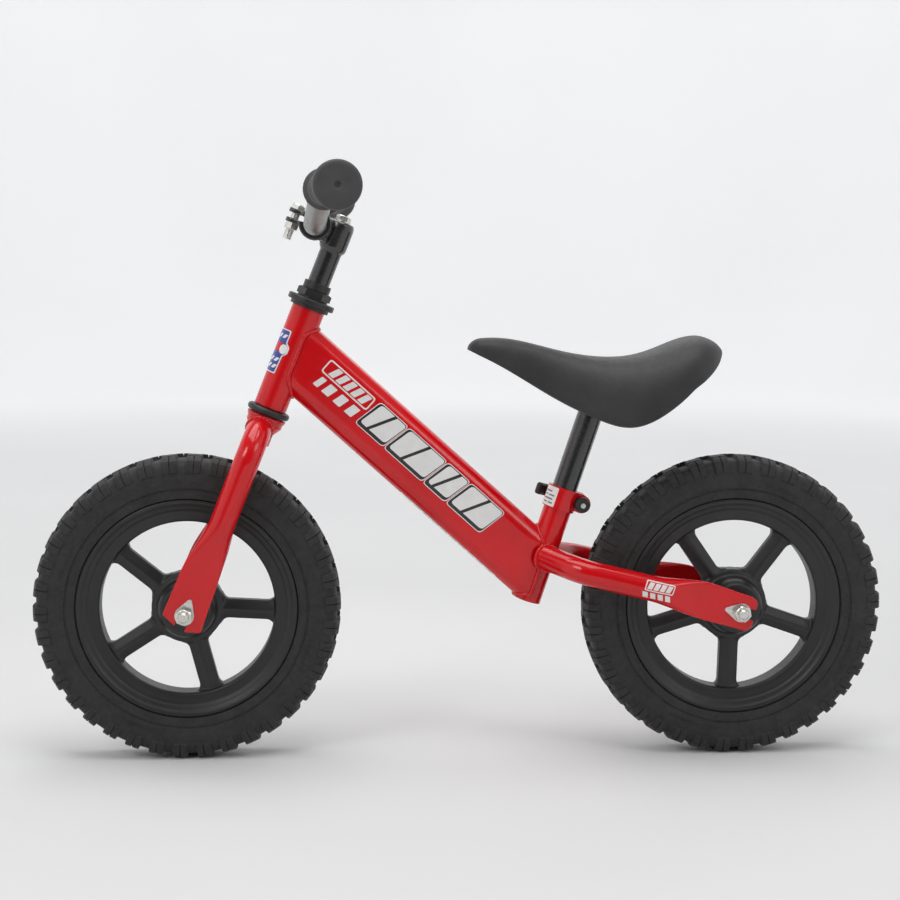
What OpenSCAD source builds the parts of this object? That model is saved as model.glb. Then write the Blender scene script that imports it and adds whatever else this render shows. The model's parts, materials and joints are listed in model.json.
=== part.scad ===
// Balance bike for a small child: welded steel frame and fork, foam-tyred wheels on bearings,
// quill stem, low-rise handlebar, and a saddle on a post held by a quick-release collar.
// +X points forwards, +Y to the rider's left and +Z up. The origin is on the ground, midway
// between the two axles.

/* [Wheels] */
// Radius of a wheel over its tread
wheel_r = 152.5; // [150:0.5:156]
// Distance between the two axles
wheelbase = 549; // [545:1:560]
// Width of a tyre
tyre_w = 46; // [40:1:48]
// Radius where the tyre meets the rim
rim_r = 110; // [106:1:112]
// Outer radius of the windows between the spokes
window_r = 86.5; // [80:0.5:90]
// Width of a spoke
spoke_w = 20; // [14:1:24]
// Number of spokes in a wheel
spoke_count = 5; // [4:1:6]
// Radius of the hub disc that the spokes leave from
hub_r = 35; // [32:1:38]

/* [Steering] */
// Lean of the steering axis from vertical, in degrees
head_angle = 21.3; // [20:0.1:23]
// Distance of the front axle ahead of the steering axis
fork_offset = 4; // [2:0.5:6]
// Outer diameter of the head tube
head_tube_d = 33; // [32:0.5:36]
// Diameter of the fork's legs before they are flattened
fork_leg_d = 25.4; // [22:0.2:26]
// Distance of each straight fork leg from the middle
fork_leg_y = 43; // [42:0.5:46]
// Diameter of the stem's quill
quill_d = 22.2; // [22.2:0.1:22.4]

/* [Handlebar] */
// Diameter of the handlebar tube
bar_d = 22.2; // [22:0.1:22.4]
// Half the width of the handlebar over the grips
bar_half = 213.5; // [200:0.5:230]
// Height that the bar rises from its clamp to its grips
bar_rise = 30.5; // [24:0.5:36]
// Backward sweep of the grips, in degrees
bar_sweep = 6.4; // [4:0.1:8]
// Length of a grip
grip_len = 114; // [100:1:116]

/* [Frame] */
// Height of the flat oval main tube
main_h = 67; // [60:1:68]
// Width of the flat oval main tube
main_w = 31; // [28:1:34]
// Slope of the main tube, in degrees
main_angle = 41.7; // [41:0.1:42.4]
// Lean of the seat tube from vertical, in degrees
seat_angle = 18.2; // [17:0.1:19]
// Outer diameter of the seat tube
seat_tube_d = 28.6; // [28:0.2:30]
// Diameter of the seat post
post_d = 25.4; // [25:0.2:25.6]
// Diameter of the chainstays before they are flattened
stay_d = 25.4; // [22:0.2:26]
// Slope of the chainstays, in degrees
stay_angle = 13.6; // [12:0.1:15]

/* [Axles] */
// Diameter of an axle
axle_d = 10; // [10:0.1:10.4]
// Inner distance between a pair of dropout plates
dropout_gap = 93; // [92:0.5:96]
// Thickness of a dropout plate
plate_t = 4; // [3:0.5:5]

/* [Hidden] */
$fn = 96;

// Colours
paint_red = [0.78, 0.02, 0.03];
rubber_black = [0.07, 0.07, 0.07];
plastic_black = [0.1, 0.1, 0.1];
steel_bright = [0.75, 0.75, 0.72];
bar_grey = [0.35, 0.36, 0.36];

// Fits
run_gap = 0.05;     // radial clearance of a running or sliding fit

// Places
axle_x = wheelbase / 2;
axle_r = axle_d / 2;
plate_in = dropout_gap / 2;
plate_out = plate_in + plate_t;
washer_t = 2;
nut_t = 8;
nut_out = plate_out + washer_t + nut_t;
axle_end = 64.5;
axle_tip_r = 4.6;
bearing_r = 13;
bearing_w = 8;
bearing_out = 30;   // outer face of each wheel bearing, from the middle

// Heights along the steering axis, counted from the point nearest the front axle
head_z0 = 215.6;
head_z1 = 320.5;
crown_z = 203.5;
steerer_z0 = 178;
steerer_z1 = 345;
steerer_d = 25.4;
stem_top_z = 411.5;
clamp_x = 24;       // handlebar clamp, ahead of the steering axis
clamp_z = 399.5;
clamp_r = 16;
clamp_half = 20;
ear_x = 45;         // clamp bolt, ahead of the steering axis

// Seat tube, from its open lower end
seat_x = -65.3;
seat_z = 157;
collar_z0 = 98;
collar_z1 = 120;
release_x = -20.4;  // quick-release skewer, behind the seat tube's axis
release_z = 110;
post_z0 = 52;
post_z1 = 207;

// Point on the main tube's axis
main_x = -17;
main_z = 240;

module steer_frame()
    translate([axle_x - fork_offset * cos(head_angle), 0, wheel_r - fork_offset * sin(head_angle)])
        rotate([0, -head_angle, 0]) children();

module seat_frame() translate([seat_x, 0, seat_z]) rotate([0, -seat_angle, 0]) children();

module stay_frame() translate([-axle_x, 0, wheel_r]) rotate([0, -stay_angle, 0]) children();

module main_frame() translate([main_x, 0, main_z]) rotate([0, 90 - main_angle, 0]) children();

module wheel_frame(x) translate([x, 0, wheel_r]) rotate([90, 0, 0]) children();

module both_sides() for (side = [0, 1]) mirror([0, side, 0]) children();

// A disc or ring on the Z axis
module ring(r_out, r_in, z0, z1)
    translate([0, 0, z0]) difference() {
        cylinder(r = r_out, h = z1 - z0);
        translate([0, 0, -1]) cylinder(r = r_in, h = z1 - z0 + 2);
    }

// A hexagonal nut on the Z axis, with its corners chamfered on the outer face
module hex_nut(across, bore_r, z0, h)
    translate([0, 0, z0]) difference() {
        intersection() {
            cylinder(r = across / 2 / cos(30), h = h, $fn = 6);
            union() {
                cylinder(r = across / 2 / cos(30) + 1, h = h - 1.5);
                translate([0, 0, h - 1.5])
                    cylinder(r1 = across / 2 / cos(30) + 0.2, r2 = across / 2 - 0.6, h = 1.5);
            }
        }
        translate([0, 0, -1]) cylinder(r = bore_r, h = h + 2);
    }

// A closed outline across a wheel, from the half of it on one side of the middle plane
function mirrored(half) =
    concat(half, [for (i = [len(half) - 1 : -1 : 0]) [half[i].x, -half[i].y]]);

// Turns the Z axis to a direction and moves the origin to a point
module place_z(at, dir) {
    side = cross([1, 0, 0], dir) / norm(cross([1, 0, 0], dir));
    other = cross(dir, side);
    multmatrix([[side.x, other.x, dir.x, at.x], [side.y, other.y, dir.y, at.y],
        [side.z, other.z, dir.z, at.z], [0, 0, 0, 1]]) children();
}

pipe_sides = 24;    // facets round a bent or flattened tube

// Section of a tube squeezed flat: half height b along v, and half width a along u
function flat_tube(c, u, v, a, b) = [for (i = [0 : pipe_sides - 1])
    let (t = (i + 0.5) * 360 / pipe_sides)
    c + u * (b * cos(t) + sign(cos(t)) * (a - b)) + v * b * sin(t)];

// Half width of a tube of radius r once it is squeezed to half height b, its girth unchanged
function squeezed(r, b) = PI * r / 2 + (1 - PI / 2) * b;

// Side faces of a skin through rows of n points, the first of them at point number "at"
function skin_faces(rows, n, at) = [for (k = [0 : rows - 2], i = [0 : n - 1], half = [0, 1])
    let (j = (i + 1) % n, p = at + k * n, q = p + n)
    half == 0 ? [p + i, q + j, q + i] : [p + i, p + j, q + j]];

function reversed(face) = [for (i = [len(face) - 1 : -1 : 0]) face[i]];

// Closed solid through a row of ribs that each hold the same number of points
module loft(ribs) {
    n = len(ribs[0]);
    rows = len(ribs);
    polyhedron(
        points = [for (rib = ribs) each rib],
        faces = concat([[for (i = [n - 1 : -1 : 0]) i]], [[for (i = [0 : n - 1]) (rows - 1) * n + i]],
            skin_faces(rows, n, 0)));
}

// Closed tube between two rows of ribs, an outer and an inner, joined by a flat rim at each end
module pipe(outer, inner) {
    n = len(outer[0]);
    rows = len(outer);
    within = rows * n;
    end = (rows - 1) * n;
    polyhedron(
        points = concat([for (rib = outer) each rib], [for (rib = inner) each rib]),
        faces = concat(skin_faces(rows, n, 0), [for (f = skin_faces(rows, n, within)) reversed(f)],
            [for (i = [0 : n - 1]) let (j = (i + 1) % n) [j, i, within + i]],
            [for (i = [0 : n - 1]) let (j = (i + 1) % n) [j, within + i, within + j]],
            [for (i = [0 : n - 1]) let (j = (i + 1) % n) [end + i, end + j, within + end + j]],
            [for (i = [0 : n - 1]) let (j = (i + 1) % n) [end + i, within + end + j, within + end + i]]));
}

// ---------------------------------------------------------------- frame

module head_tube() color(paint_red) steer_frame() ring(head_tube_d / 2, 14.5, head_z0, head_z1);

// Flat oval section, long side along X
module oval_section(h, w) {
    square([h - w, w], center = true);
    for (side = [-1, 1]) translate([side * (h - w) / 2, 0]) circle(r = w / 2);
}

module main_tube() color(paint_red) difference() {
    main_frame() translate([0, 0, -75]) difference() {
        linear_extrude(350) oval_section(main_h, main_w);
        translate([0, 0, -1]) linear_extrude(352) oval_section(main_h - 4, main_w - 4);
    }
    steer_frame() translate([0, 0, head_z0 - 40]) cylinder(r = head_tube_d / 2, h = 200);
    steer_frame() translate([0, -40, head_z0 - 60]) cube([90, 80, 230]);
    seat_frame() translate([0, 0, -60]) cylinder(r = seat_tube_d / 2, h = 220);
    seat_frame() translate([-90, -40, -60]) cube([90, 80, 220]);
}

module seat_tube() color(paint_red) seat_frame() difference() {
    ring(seat_tube_d / 2, post_d / 2 + run_gap, 0, collar_z1);
    translate([-seat_tube_d, -1.5, collar_z0 - 12]) cube([seat_tube_d, 3, 40]);
}

// Outline of a flattened dropout plate behind the chainstay, seen from the side
stay_plate = [[38, 22.5], [-9, 17.5], [-14, 12.5], [-14, 5.25], [0, 5.25], [0, -5.25],
    [-14, -5.25], [-13, -12], [-9, -17.3], [38, -16.3]];

stay_y = 51;        // middle of a straight chainstay
stay_z = 3;         // its height over the axle, across its own slope
stay_bend_r = 34;
stay_bend = 49;     // degrees that it turns in towards the main tube
stay_bend_x = 150;  // where the bend starts, ahead of the axle
stay_run = 36;      // straight end beyond the bend, inside the main tube
flat_x0 = 38;       // fully flat behind this
flat_x1 = 96;       // still round ahead of this
flat_steps = 8;
bend_steps = 7;
wall = 2;

// Eases from 0 to 1
function ease(t) = t * t * (3 - 2 * t);

// One rib of the chainstay: i from 0, at the dropout, through the bend to the main tube
function stay_rib(i, inset) = i <= flat_steps
    ? let (t = i / flat_steps, b = plate_t / 2 + (stay_d / 2 - plate_t / 2) * ease(t))
        flat_tube([flat_x0 + (flat_x1 - flat_x0) * t,
            plate_in + plate_t / 2 + (stay_y - plate_in - plate_t / 2) * ease(t), stay_z],
            [0, 0, 1], [0, 1, 0], squeezed(stay_d / 2, b) - inset, max(0.3, b - inset))
    : let (f = stay_bend * min(1, (i - flat_steps - 1) / bend_steps),
        run = i > flat_steps + 1 + bend_steps ? stay_run : 0)
        flat_tube([stay_bend_x + stay_bend_r * sin(f) + run * cos(f),
            stay_y - stay_bend_r * (1 - cos(f)) - run * sin(f), stay_z],
            [0, 0, 1], [sin(f), cos(f), 0], stay_d / 2 - inset, stay_d / 2 - inset);

module chainstay(side) color(paint_red) mirror([0, side, 0]) difference() {
    stay_frame() {
        pipe([for (i = [0 : flat_steps + bend_steps + 2]) stay_rib(i, 0)],
            [for (i = [0 : flat_steps + bend_steps + 2]) stay_rib(i, wall)]);
        translate([0, plate_out, 0]) rotate([90, 0, 0]) linear_extrude(plate_t) difference() {
            polygon(stay_plate);
            circle(r = 5.25);
        }
    }
    seat_frame() translate([0, 0, -60]) cylinder(r = seat_tube_d / 2, h = 220);
    main_frame() translate([0, 0, -75]) linear_extrude(350) oval_section(main_h, main_w);
    translate([-105, -60, 150]) cube([90, 60 + seat_tube_d / 2 - 0.5, 100]);
}

module chainstay_left() chainstay(0);
module chainstay_right() chainstay(1);

// ---------------------------------------------------------------- headset

ball_r = 2;
ball_ring_r = 16.4;
ball_count = 16;
upper_ball_z = 325;
lower_ball_z = 209;

// The ball track, cut into the cups and the races
module ball_track(z) rotate_extrude() translate([ball_ring_r, z]) circle(r = ball_r + run_gap);

module ball_set(z) color(steel_bright) steer_frame()
    for (i = [0 : ball_count - 1]) rotate([0, 0, i * 360 / ball_count])
        translate([ball_ring_r, 0, z]) sphere(r = ball_r, $fn = 32);

module headset_upper_balls() ball_set(upper_ball_z);
module headset_lower_balls() ball_set(lower_ball_z);

module headset_upper_cup() color(plastic_black) steer_frame() difference() {
    rotate_extrude() polygon([[13.2, 312.5], [14.5, 312.5], [14.5, head_z1], [19.5, head_z1],
        [19.5, 324.6], [13.2, 324.6]]);
    ball_track(upper_ball_z);
}

module headset_lower_cup() color(rubber_black) steer_frame() difference() {
    rotate_extrude() polygon([[13.2, 209.4], [19.6, 209.4], [19.6, 207.2], [20.6, 207.2],
        [21.6, 208.4], [21.6, 213], [20.4, 214.6], [18.5, head_z0], [14.5, head_z0],
        [14.5, 223.6], [13.2, 223.6]]);
    ball_track(lower_ball_z);
}

module crown_race() color(steel_bright) steer_frame() difference() {
    rotate_extrude() polygon([[steerer_d / 2, crown_z], [18.5, crown_z], [19.2, 205], [19.2, 208.6],
        [steerer_d / 2, 208.6]]);
    ball_track(lower_ball_z);
}

module headset_top_race() color(plastic_black) steer_frame() difference() {
    rotate_extrude() polygon([[steerer_d / 2, 325.4], [20.5, 325.4], [20.5, 324.2], [22.8, 324.2],
        [23.6, 325], [23.6, 329], [22.8, 330], [steerer_d / 2, 330]]);
    ball_track(upper_ball_z);
}

module headset_lock_nut() color(plastic_black) steer_frame() difference() {
    union() {
        ring(15.4, steerer_d / 2, 330, 332);
        hex_nut(30, steerer_d / 2, 332, 7.4);
    }
}

module headset_cap() color(plastic_black) steer_frame() difference() {
    translate([0, 0, 339.4]) cylinder(r = 13.7, h = 7.4);
    translate([0, 0, 338]) cylinder(r = steerer_d / 2, h = 7);
    translate([0, 0, 338]) cylinder(r = quill_d / 2 + run_gap, h = 20);
}

// ---------------------------------------------------------------- fork

module steerer_outside(grow = 0) {
    translate([0, 0, steerer_z0]) cylinder(r = steerer_d / 2 + grow, h = steerer_z1 - steerer_z0);
    translate([0, 0, 190]) cylinder(r1 = steerer_d / 2 + grow, r2 = 18.2, h = 8);
    translate([0, 0, 198]) cylinder(r = 18.2, h = crown_z - 198);
}

module fork_steerer() color(paint_red) steer_frame() difference() {
    steerer_outside();
    translate([0, 0, 100]) cylinder(r = quill_d / 2 + run_gap, h = 300);
}

// Outline of the flattened end of a fork leg, seen from the side
fork_plate = [[24, -6], [9.25, -13], [9.25, 0], [-1.25, 0], [-1.25, -15], [-16.6, -10.5],
    [-14.5, 42], [22.6, 42]];

leg_x = 2;          // middle of a round fork leg, ahead of the steering axis
leg_flat_z0 = 42;   // fully flat below this
leg_flat_z1 = 98;   // still round above this
leg_bend_z = 158;   // where the bend towards the crown starts
leg_bend_r = 34;
leg_bend = 66;
leg_run = 16;

// One rib of a fork leg: i from 0, at the dropout, up to the crown
function leg_rib(i, inset) = i <= flat_steps
    ? let (t = i / flat_steps, b = plate_t / 2 + (fork_leg_d / 2 - plate_t / 2) * ease(t))
        flat_tube([leg_x + 2 * (1 - ease(t)),
            plate_in + plate_t / 2 + (fork_leg_y - plate_in - plate_t / 2) * ease(t),
            leg_flat_z0 + (leg_flat_z1 - leg_flat_z0) * t],
            [-1, 0, 0], [0, 1, 0], squeezed(fork_leg_d / 2, b) - inset, max(0.3, b - inset))
    : let (f = leg_bend * min(1, (i - flat_steps - 1) / bend_steps),
        run = i > flat_steps + 1 + bend_steps ? leg_run : 0)
        flat_tube([leg_x, fork_leg_y - leg_bend_r * (1 - cos(f)) - run * sin(f),
            leg_bend_z + leg_bend_r * sin(f) + run * cos(f)],
            [-1, 0, 0], [0, cos(f), sin(f)], fork_leg_d / 2 - inset, fork_leg_d / 2 - inset);

module fork_leg(side) color(paint_red) mirror([0, side, 0]) steer_frame() difference() {
    union() {
        pipe([for (i = [0 : flat_steps + bend_steps + 2]) leg_rib(i, 0)],
            [for (i = [0 : flat_steps + bend_steps + 2]) leg_rib(i, wall)]);
        translate([0, plate_out, 0]) rotate([90, 0, 0]) linear_extrude(plate_t) difference() {
            polygon(fork_plate);
            translate([fork_offset, 0]) circle(r = 5.25);
        }
    }
    steerer_outside();
    translate([-50, -60, 90]) cube([100, 62, 140]);
    translate([-50, -60, crown_z - 0.3]) cube([100, 120, 40]);
}

module fork_leg_left() fork_leg(0);
module fork_leg_right() fork_leg(1);

// ---------------------------------------------------------------- axles and wheels

module place_axle(front) {
    if (front) steer_frame() translate([fork_offset, 0, 0]) rotate([90, 0, 0]) children();
    if (!front) stay_frame() rotate([90, 0, 0]) children();
}

module axle(front) color(steel_bright) place_axle(front) {
    translate([0, 0, -nut_out]) cylinder(r = axle_r, h = 2 * nut_out);
    for (side = [0, 1]) mirror([0, 0, side]) translate([0, 0, nut_out]) {
        cylinder(r = axle_tip_r, h = axle_end - nut_out - 0.8);
        translate([0, 0, axle_end - nut_out - 0.8])
            cylinder(r1 = axle_tip_r, r2 = axle_tip_r - 0.8, h = 0.8);
    }
}

// The sleeve between the bearings, and a cone spacer from each bearing to its dropout plate
module axle_spacers(front) color(steel_bright) place_axle(front) {
    ring(7.4, axle_r, -(bearing_out - bearing_w), bearing_out - bearing_w);
    for (side = [0, 1]) mirror([0, 0, side]) {
        ring(7.4, axle_r, bearing_out, bearing_out + 3);
        ring(9, axle_r, bearing_out + 3, plate_in);
    }
}

wheel_ball_r = 1.9;
wheel_ball_ring_r = 9;
wheel_ball_count = 8;
bearing_mid = bearing_out - bearing_w / 2;

module wheel_track() rotate_extrude() translate([wheel_ball_ring_r, 0]) circle(r = wheel_ball_r + run_gap);

module bearing_pair() for (side = [0, 1]) mirror([0, 0, side]) translate([0, 0, bearing_mid]) children();

module bearing_inners(front) color(steel_bright) place_axle(front) bearing_pair() difference() {
    ring(7.4, axle_r, -bearing_w / 2, bearing_w / 2);
    wheel_track();
}

module bearing_outers(x) color(steel_bright) wheel_frame(x) bearing_pair() difference() {
    ring(bearing_r, 10.4, -bearing_w / 2, bearing_w / 2);
    wheel_track();
}

module bearing_balls(x) color(steel_bright) wheel_frame(x) bearing_pair()
    for (i = [0 : wheel_ball_count - 1]) rotate([0, 0, i * 360 / wheel_ball_count])
        translate([wheel_ball_ring_r, 0, 0]) sphere(r = wheel_ball_r, $fn = 32);

// A retaining washer: a disc whose outline narrows to a tab that points away along X
module tab_washer() {
    disc_r = 9.4;
    tab_x = 15;
    tab_r = 2.2;
    lean = asin((disc_r - tab_r) / tab_x);
    difference() {
        union() {
            circle(r = disc_r);
            translate([tab_x, 0]) circle(r = tab_r);
            polygon([for (s = [-1, 1]) each s < 0
                ? [disc_r * [sin(lean), -cos(lean)], [tab_x, 0] + tab_r * [sin(lean), -cos(lean)]]
                : [[tab_x, 0] + tab_r * [sin(lean), cos(lean)], disc_r * [sin(lean), cos(lean)]]]);
        }
        circle(r = axle_r);
    }
}

module tab_washers(front) color(steel_bright) place_axle(front)
    for (side = [0, 1]) mirror([0, 0, side]) translate([0, 0, plate_out])
        rotate([0, 0, front ? 90 : 0]) linear_extrude(washer_t) tab_washer();

module axle_nuts(front) color(steel_bright) place_axle(front)
    for (side = [0, 1]) mirror([0, 0, side]) {
        ring(8.4, axle_r, plate_out + washer_t, plate_out + washer_t + 1.4);
        hex_nut(15, axle_r, plate_out + washer_t + 1.4, nut_t - 1.4);
    }

module front_axle() axle(true);
module front_spacers() axle_spacers(true);
module front_bearing_inners() bearing_inners(true);
module front_tab_washers() tab_washers(true);
module front_axle_nuts() axle_nuts(true);
module front_bearing_outers() bearing_outers(axle_x);
module front_bearing_balls() bearing_balls(axle_x);
module rear_axle() axle(false);
module rear_spacers() axle_spacers(false);
module rear_bearing_inners() bearing_inners(false);
module rear_tab_washers() tab_washers(false);
module rear_axle_nuts() axle_nuts(false);
module rear_bearing_outers() bearing_outers(-axle_x);
module rear_bearing_balls() bearing_balls(-axle_x);

// Half sections across a wheel, as radius and distance from the middle plane
channel_r = 95;     // bottom of the channel that the tyre sits in

module tyre(x) color(rubber_black) wheel_frame(x) rotate_extrude($fn = 180)
    polygon(mirrored([[channel_r, 9], [rim_r, 15.8], [rim_r, 20], [rim_r + 8, 22],
        [rim_r + 18, tyre_w / 2], [rim_r + 30, tyre_w / 2 - 0.5], [wheel_r - 4, tyre_w / 2 - 3],
        [wheel_r - 0.6, tyre_w / 2 - 8], [wheel_r, 10]]));

// The five spokes, from flats inside the hub to flats inside the rim
spoke_x0 = hub_r - 2;
spoke_x1 = window_r + 1.5;
front_phase = 39;   // first spoke, in degrees from straight ahead
rear_phase = 55;
module spokes(phase) for (i = [0 : spoke_count - 1]) rotate([0, 0, phase + i * 360 / spoke_count])
    translate([spoke_x0, 0, 0]) rotate([90, 0, 90]) linear_extrude(spoke_x1 - spoke_x0)
        polygon([[-spoke_w / 2, 5], [0, 9], [spoke_w / 2, 5], [spoke_w / 2, -5], [0, -9],
            [-spoke_w / 2, -5]]);

module rim(x, phase) color(plastic_black) wheel_frame(x) difference() {
    rotate_extrude($fn = 180)
        polygon(mirrored([[window_r, 12.5], [window_r + 4, 14], [window_r + 8, 14.5],
            [rim_r - 5, 19.5], [rim_r, 19.5], [rim_r, 16], [channel_r, 9.2]]));
    spokes(phase);
}

module hub(x, phase) color(plastic_black) wheel_frame(x) difference() {
    rotate_extrude()
        polygon(mirrored([[8.6, bearing_out - bearing_w], [bearing_r, bearing_out - bearing_w],
            [bearing_r, bearing_out + 1], [24, bearing_out + 1], [28, 24], [29, 12], [hub_r, 9.5]]));
    spokes(phase);
}

module wheel_spokes(x, phase) color(plastic_black) wheel_frame(x) spokes(phase);

module front_tyre() tyre(axle_x);
module rear_tyre() tyre(-axle_x);
module front_rim() rim(axle_x, front_phase);
module rear_rim() rim(-axle_x, rear_phase);
module front_spokes() wheel_spokes(axle_x, front_phase);
module rear_spokes() wheel_spokes(-axle_x, rear_phase);
module front_hub() hub(axle_x, front_phase);
module rear_hub() hub(-axle_x, rear_phase);

// ---------------------------------------------------------------- stem and handlebar

module stem() color(plastic_black) steer_frame() difference() {
    union() {
        translate([0, 0, 262]) cylinder(r = quill_d / 2, h = 125);
        translate([0, 0, 383]) cylinder(r = 13.9, h = stem_top_z - 383 - 3);
        translate([0, 0, stem_top_z - 3]) cylinder(r1 = 13.9, r2 = 11.4, h = 3);
        translate([0, 0, 380]) cylinder(r1 = quill_d / 2, r2 = 13.9, h = 3);
        translate([clamp_x, clamp_half, clamp_z]) rotate([90, 0, 0]) cylinder(r = clamp_r, h = 2 * clamp_half);
        translate([0, -12, clamp_z - 13]) cube([clamp_x, 24, 24]);
        translate([clamp_x, -11, clamp_z - 7]) cube([ear_x - clamp_x, 22, 14]);
        translate([ear_x, 0, clamp_z - 7]) cylinder(r = 7.5, h = 14);
    }
    translate([clamp_x, 30, clamp_z]) rotate([90, 0, 0]) cylinder(r = bar_d / 2 + run_gap, h = 60);
    translate([clamp_x + 5, -30, clamp_z - 2.5]) cube([60, 60, 5]);
    translate([ear_x, 0, clamp_z - 20]) cylinder(r = 4.1, h = 40);
    translate([0, 0, 250]) cylinder(r = 4.2, h = 200);
    translate([0, 0, 250]) cylinder(r = 8.2, h = 148);
    translate([0, 0, 262]) rotate([0, 45, 0]) translate([-40, -20, -40]) cube([80, 40, 40]);
}

module expander_bolt() color(steel_bright) steer_frame() {
    translate([0, 0, 236]) cylinder(r = 4, h = stem_top_z - 236);
    ring(8.5, 4, stem_top_z, stem_top_z + 1.2);
    hex_nut(13, 3, stem_top_z + 1.2, 5);
    translate([0, 0, stem_top_z]) cylinder(r = 4, h = 5.4);
}

module expander_wedge() color(steel_bright) steer_frame() difference() {
    translate([0, 0, 236]) cylinder(r = quill_d / 2, h = 50);
    translate([0, 0, 261.6]) rotate([0, 45, 0]) translate([-60, -30, 0]) cube([120, 60, 60]);
    translate([0, 0, 200]) cylinder(r = 4, h = 120);
}

module bar_clamp_bolt() color(steel_bright) steer_frame() translate([ear_x, 0, 0]) {
    translate([0, 0, 376]) cylinder(r = 4, h = clamp_z + 7 - 376 + 5);
    rotate([0, 0, 30]) hex_nut(13, 3.9, clamp_z + 7, 5);
}

module bar_clamp_nut() color(steel_bright) steer_frame() translate([ear_x, 0, 0])
    mirror([0, 0, 1]) rotate([0, 0, 30]) hex_nut(13, 4, -(clamp_z - 7), 6.5);

// Handlebar points in the frame of its clamp: X forwards, Y left, Z up
bar_mid_x = axle_x + (clamp_x - fork_offset) * cos(head_angle) - clamp_z * sin(head_angle);
bar_mid_z = wheel_r + (clamp_x - fork_offset) * sin(head_angle) + clamp_z * cos(head_angle);
bar_back = 6.5;     // how far the grips' inner ends lie behind the clamp
grip_y0 = bar_half - grip_len * cos(bar_sweep);
bar_flat = 31;      // half length of the straight middle of the bar
bar_bend_y = 82;    // the rise is complete here
bar_straight_y = 92; // straight from here to the end
bar_steps = 12;
bar_wall = 2;

// A point on the bar's axis, and its direction there, at a distance y from the middle
function bar_point(y) = let (t = max(0, min(1, (abs(y) - bar_flat) / (bar_bend_y - bar_flat))))
    [-bar_back * ease(t) - max(0, abs(y) - bar_bend_y) * tan(bar_sweep), y, bar_rise * ease(t)];
function bar_dir(y) = abs(y) > bar_straight_y - 2 ? [-sign(y) * sin(bar_sweep), cos(bar_sweep), 0]
    : let (d = bar_point(y + 0.5) - bar_point(y - 0.5)) d / norm(d);

function bar_rib(y, r) = let (dir = bar_dir(y), u = [1, 0, 0] - dir * dir.x)
    flat_tube(bar_point(y), u / norm(u), cross(u / norm(u), dir), r, r);

// Places of the bar's ribs along its right half, from the end to the straight middle
bar_half_ys = concat([bar_half - 4.5 * cos(bar_sweep)],
    [for (i = [bar_steps : -1 : 0]) bar_flat + (bar_straight_y - bar_flat) * i / bar_steps]);
bar_ys = concat([for (y = bar_half_ys) -y], [for (i = [len(bar_half_ys) - 1 : -1 : 0]) bar_half_ys[i]]);

module bar_frame() translate([bar_mid_x, 0, bar_mid_z]) children();

module handlebar() color(bar_grey) bar_frame()
    pipe([for (y = bar_ys) bar_rib(y, bar_d / 2)], [for (y = bar_ys) bar_rib(y, bar_d / 2 - bar_wall)]);

// A rubber grip on the bar's end: flange, waisted body, rounded bulb and closed end
module grip(side) color(rubber_black) mirror([0, side, 0]) bar_frame()
    place_z(bar_point(grip_y0), bar_dir(grip_y0)) rotate_extrude()
        polygon([[bar_d / 2, 0], [17.6, 0], [19.6, 1.6], [19.6, 3.6], [18.4, 5], [15.6, 7.5],
            [15, 20], [15.4, 55], [15.2, 92], [17.5, 97], [20.5, 101], [22, 104.5],
            [22, grip_len - 3.2], [20.4, grip_len - 0.8], [17, grip_len], [1.6, grip_len],
            [1.6, grip_len - 1.5], [0, grip_len - 1.5], [0, grip_len - 4.5], [bar_d / 2, grip_len - 4.5]]);

module grip_left() grip(0);
module grip_right() grip(1);

// ---------------------------------------------------------------- seat clamp and its lever

module seat_clamp() color(paint_red) seat_frame() difference() {
    union() {
        translate([0, 0, collar_z0]) cylinder(r = 16.6, h = collar_z1 - collar_z0);
        translate([release_x, 8, release_z]) rotate([90, 0, 0]) cylinder(r = 9.2, h = 16);
        translate([release_x, -8, collar_z0 + 3]) cube([-release_x, 16, collar_z1 - collar_z0 - 3]);
    }
    translate([0, 0, 0]) cylinder(r = seat_tube_d / 2, h = 200);
    translate([-40, -2, 50]) cube([40, 4, 100]);
    translate([release_x, 30, release_z]) rotate([90, 0, 0]) cylinder(r = 2.6, h = 60);
    both_sides() translate([release_x, 8, release_z]) rotate([-90, 0, 0]) cylinder(r = 8.1, h = 12);
}

lever_y = -17.5;    // pivot of the lever, outside the clamp's right ear
lever_r = 27;       // radius of the lever's curved handle round the seat tube

module clamp_skewer() color(steel_bright) seat_frame() difference() {
    union() {
        translate([release_x, 20.5, release_z]) rotate([90, 0, 0]) cylinder(r = 2.5, h = 35);
        translate([release_x, lever_y, release_z - 2.4]) cylinder(r = 4.5, h = 4.8);
    }
    translate([release_x, lever_y, release_z - 10]) cylinder(r = 2, h = 20);
}

module clamp_pivot_pin() color(steel_bright) seat_frame()
    translate([release_x, lever_y, release_z - 6.2]) cylinder(r = 2, h = 12.4);

module clamp_washer() color(plastic_black) seat_frame() translate([release_x, -8, release_z])
    rotate([90, 0, 0]) ring(6.8, 2.5, 0, 2);

module clamp_nut() color(plastic_black) seat_frame() translate([release_x, 8, release_z])
    rotate([-90, 0, 0]) {
        ring(7.75, 2.5, 0, 8);
        translate([0, 0, 8]) difference() {
            cylinder(r1 = 7.75, r2 = 6.2, h = 2);
            translate([0, 0, -1]) cylinder(r = 2.5, h = 5);
        }
    }

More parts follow.
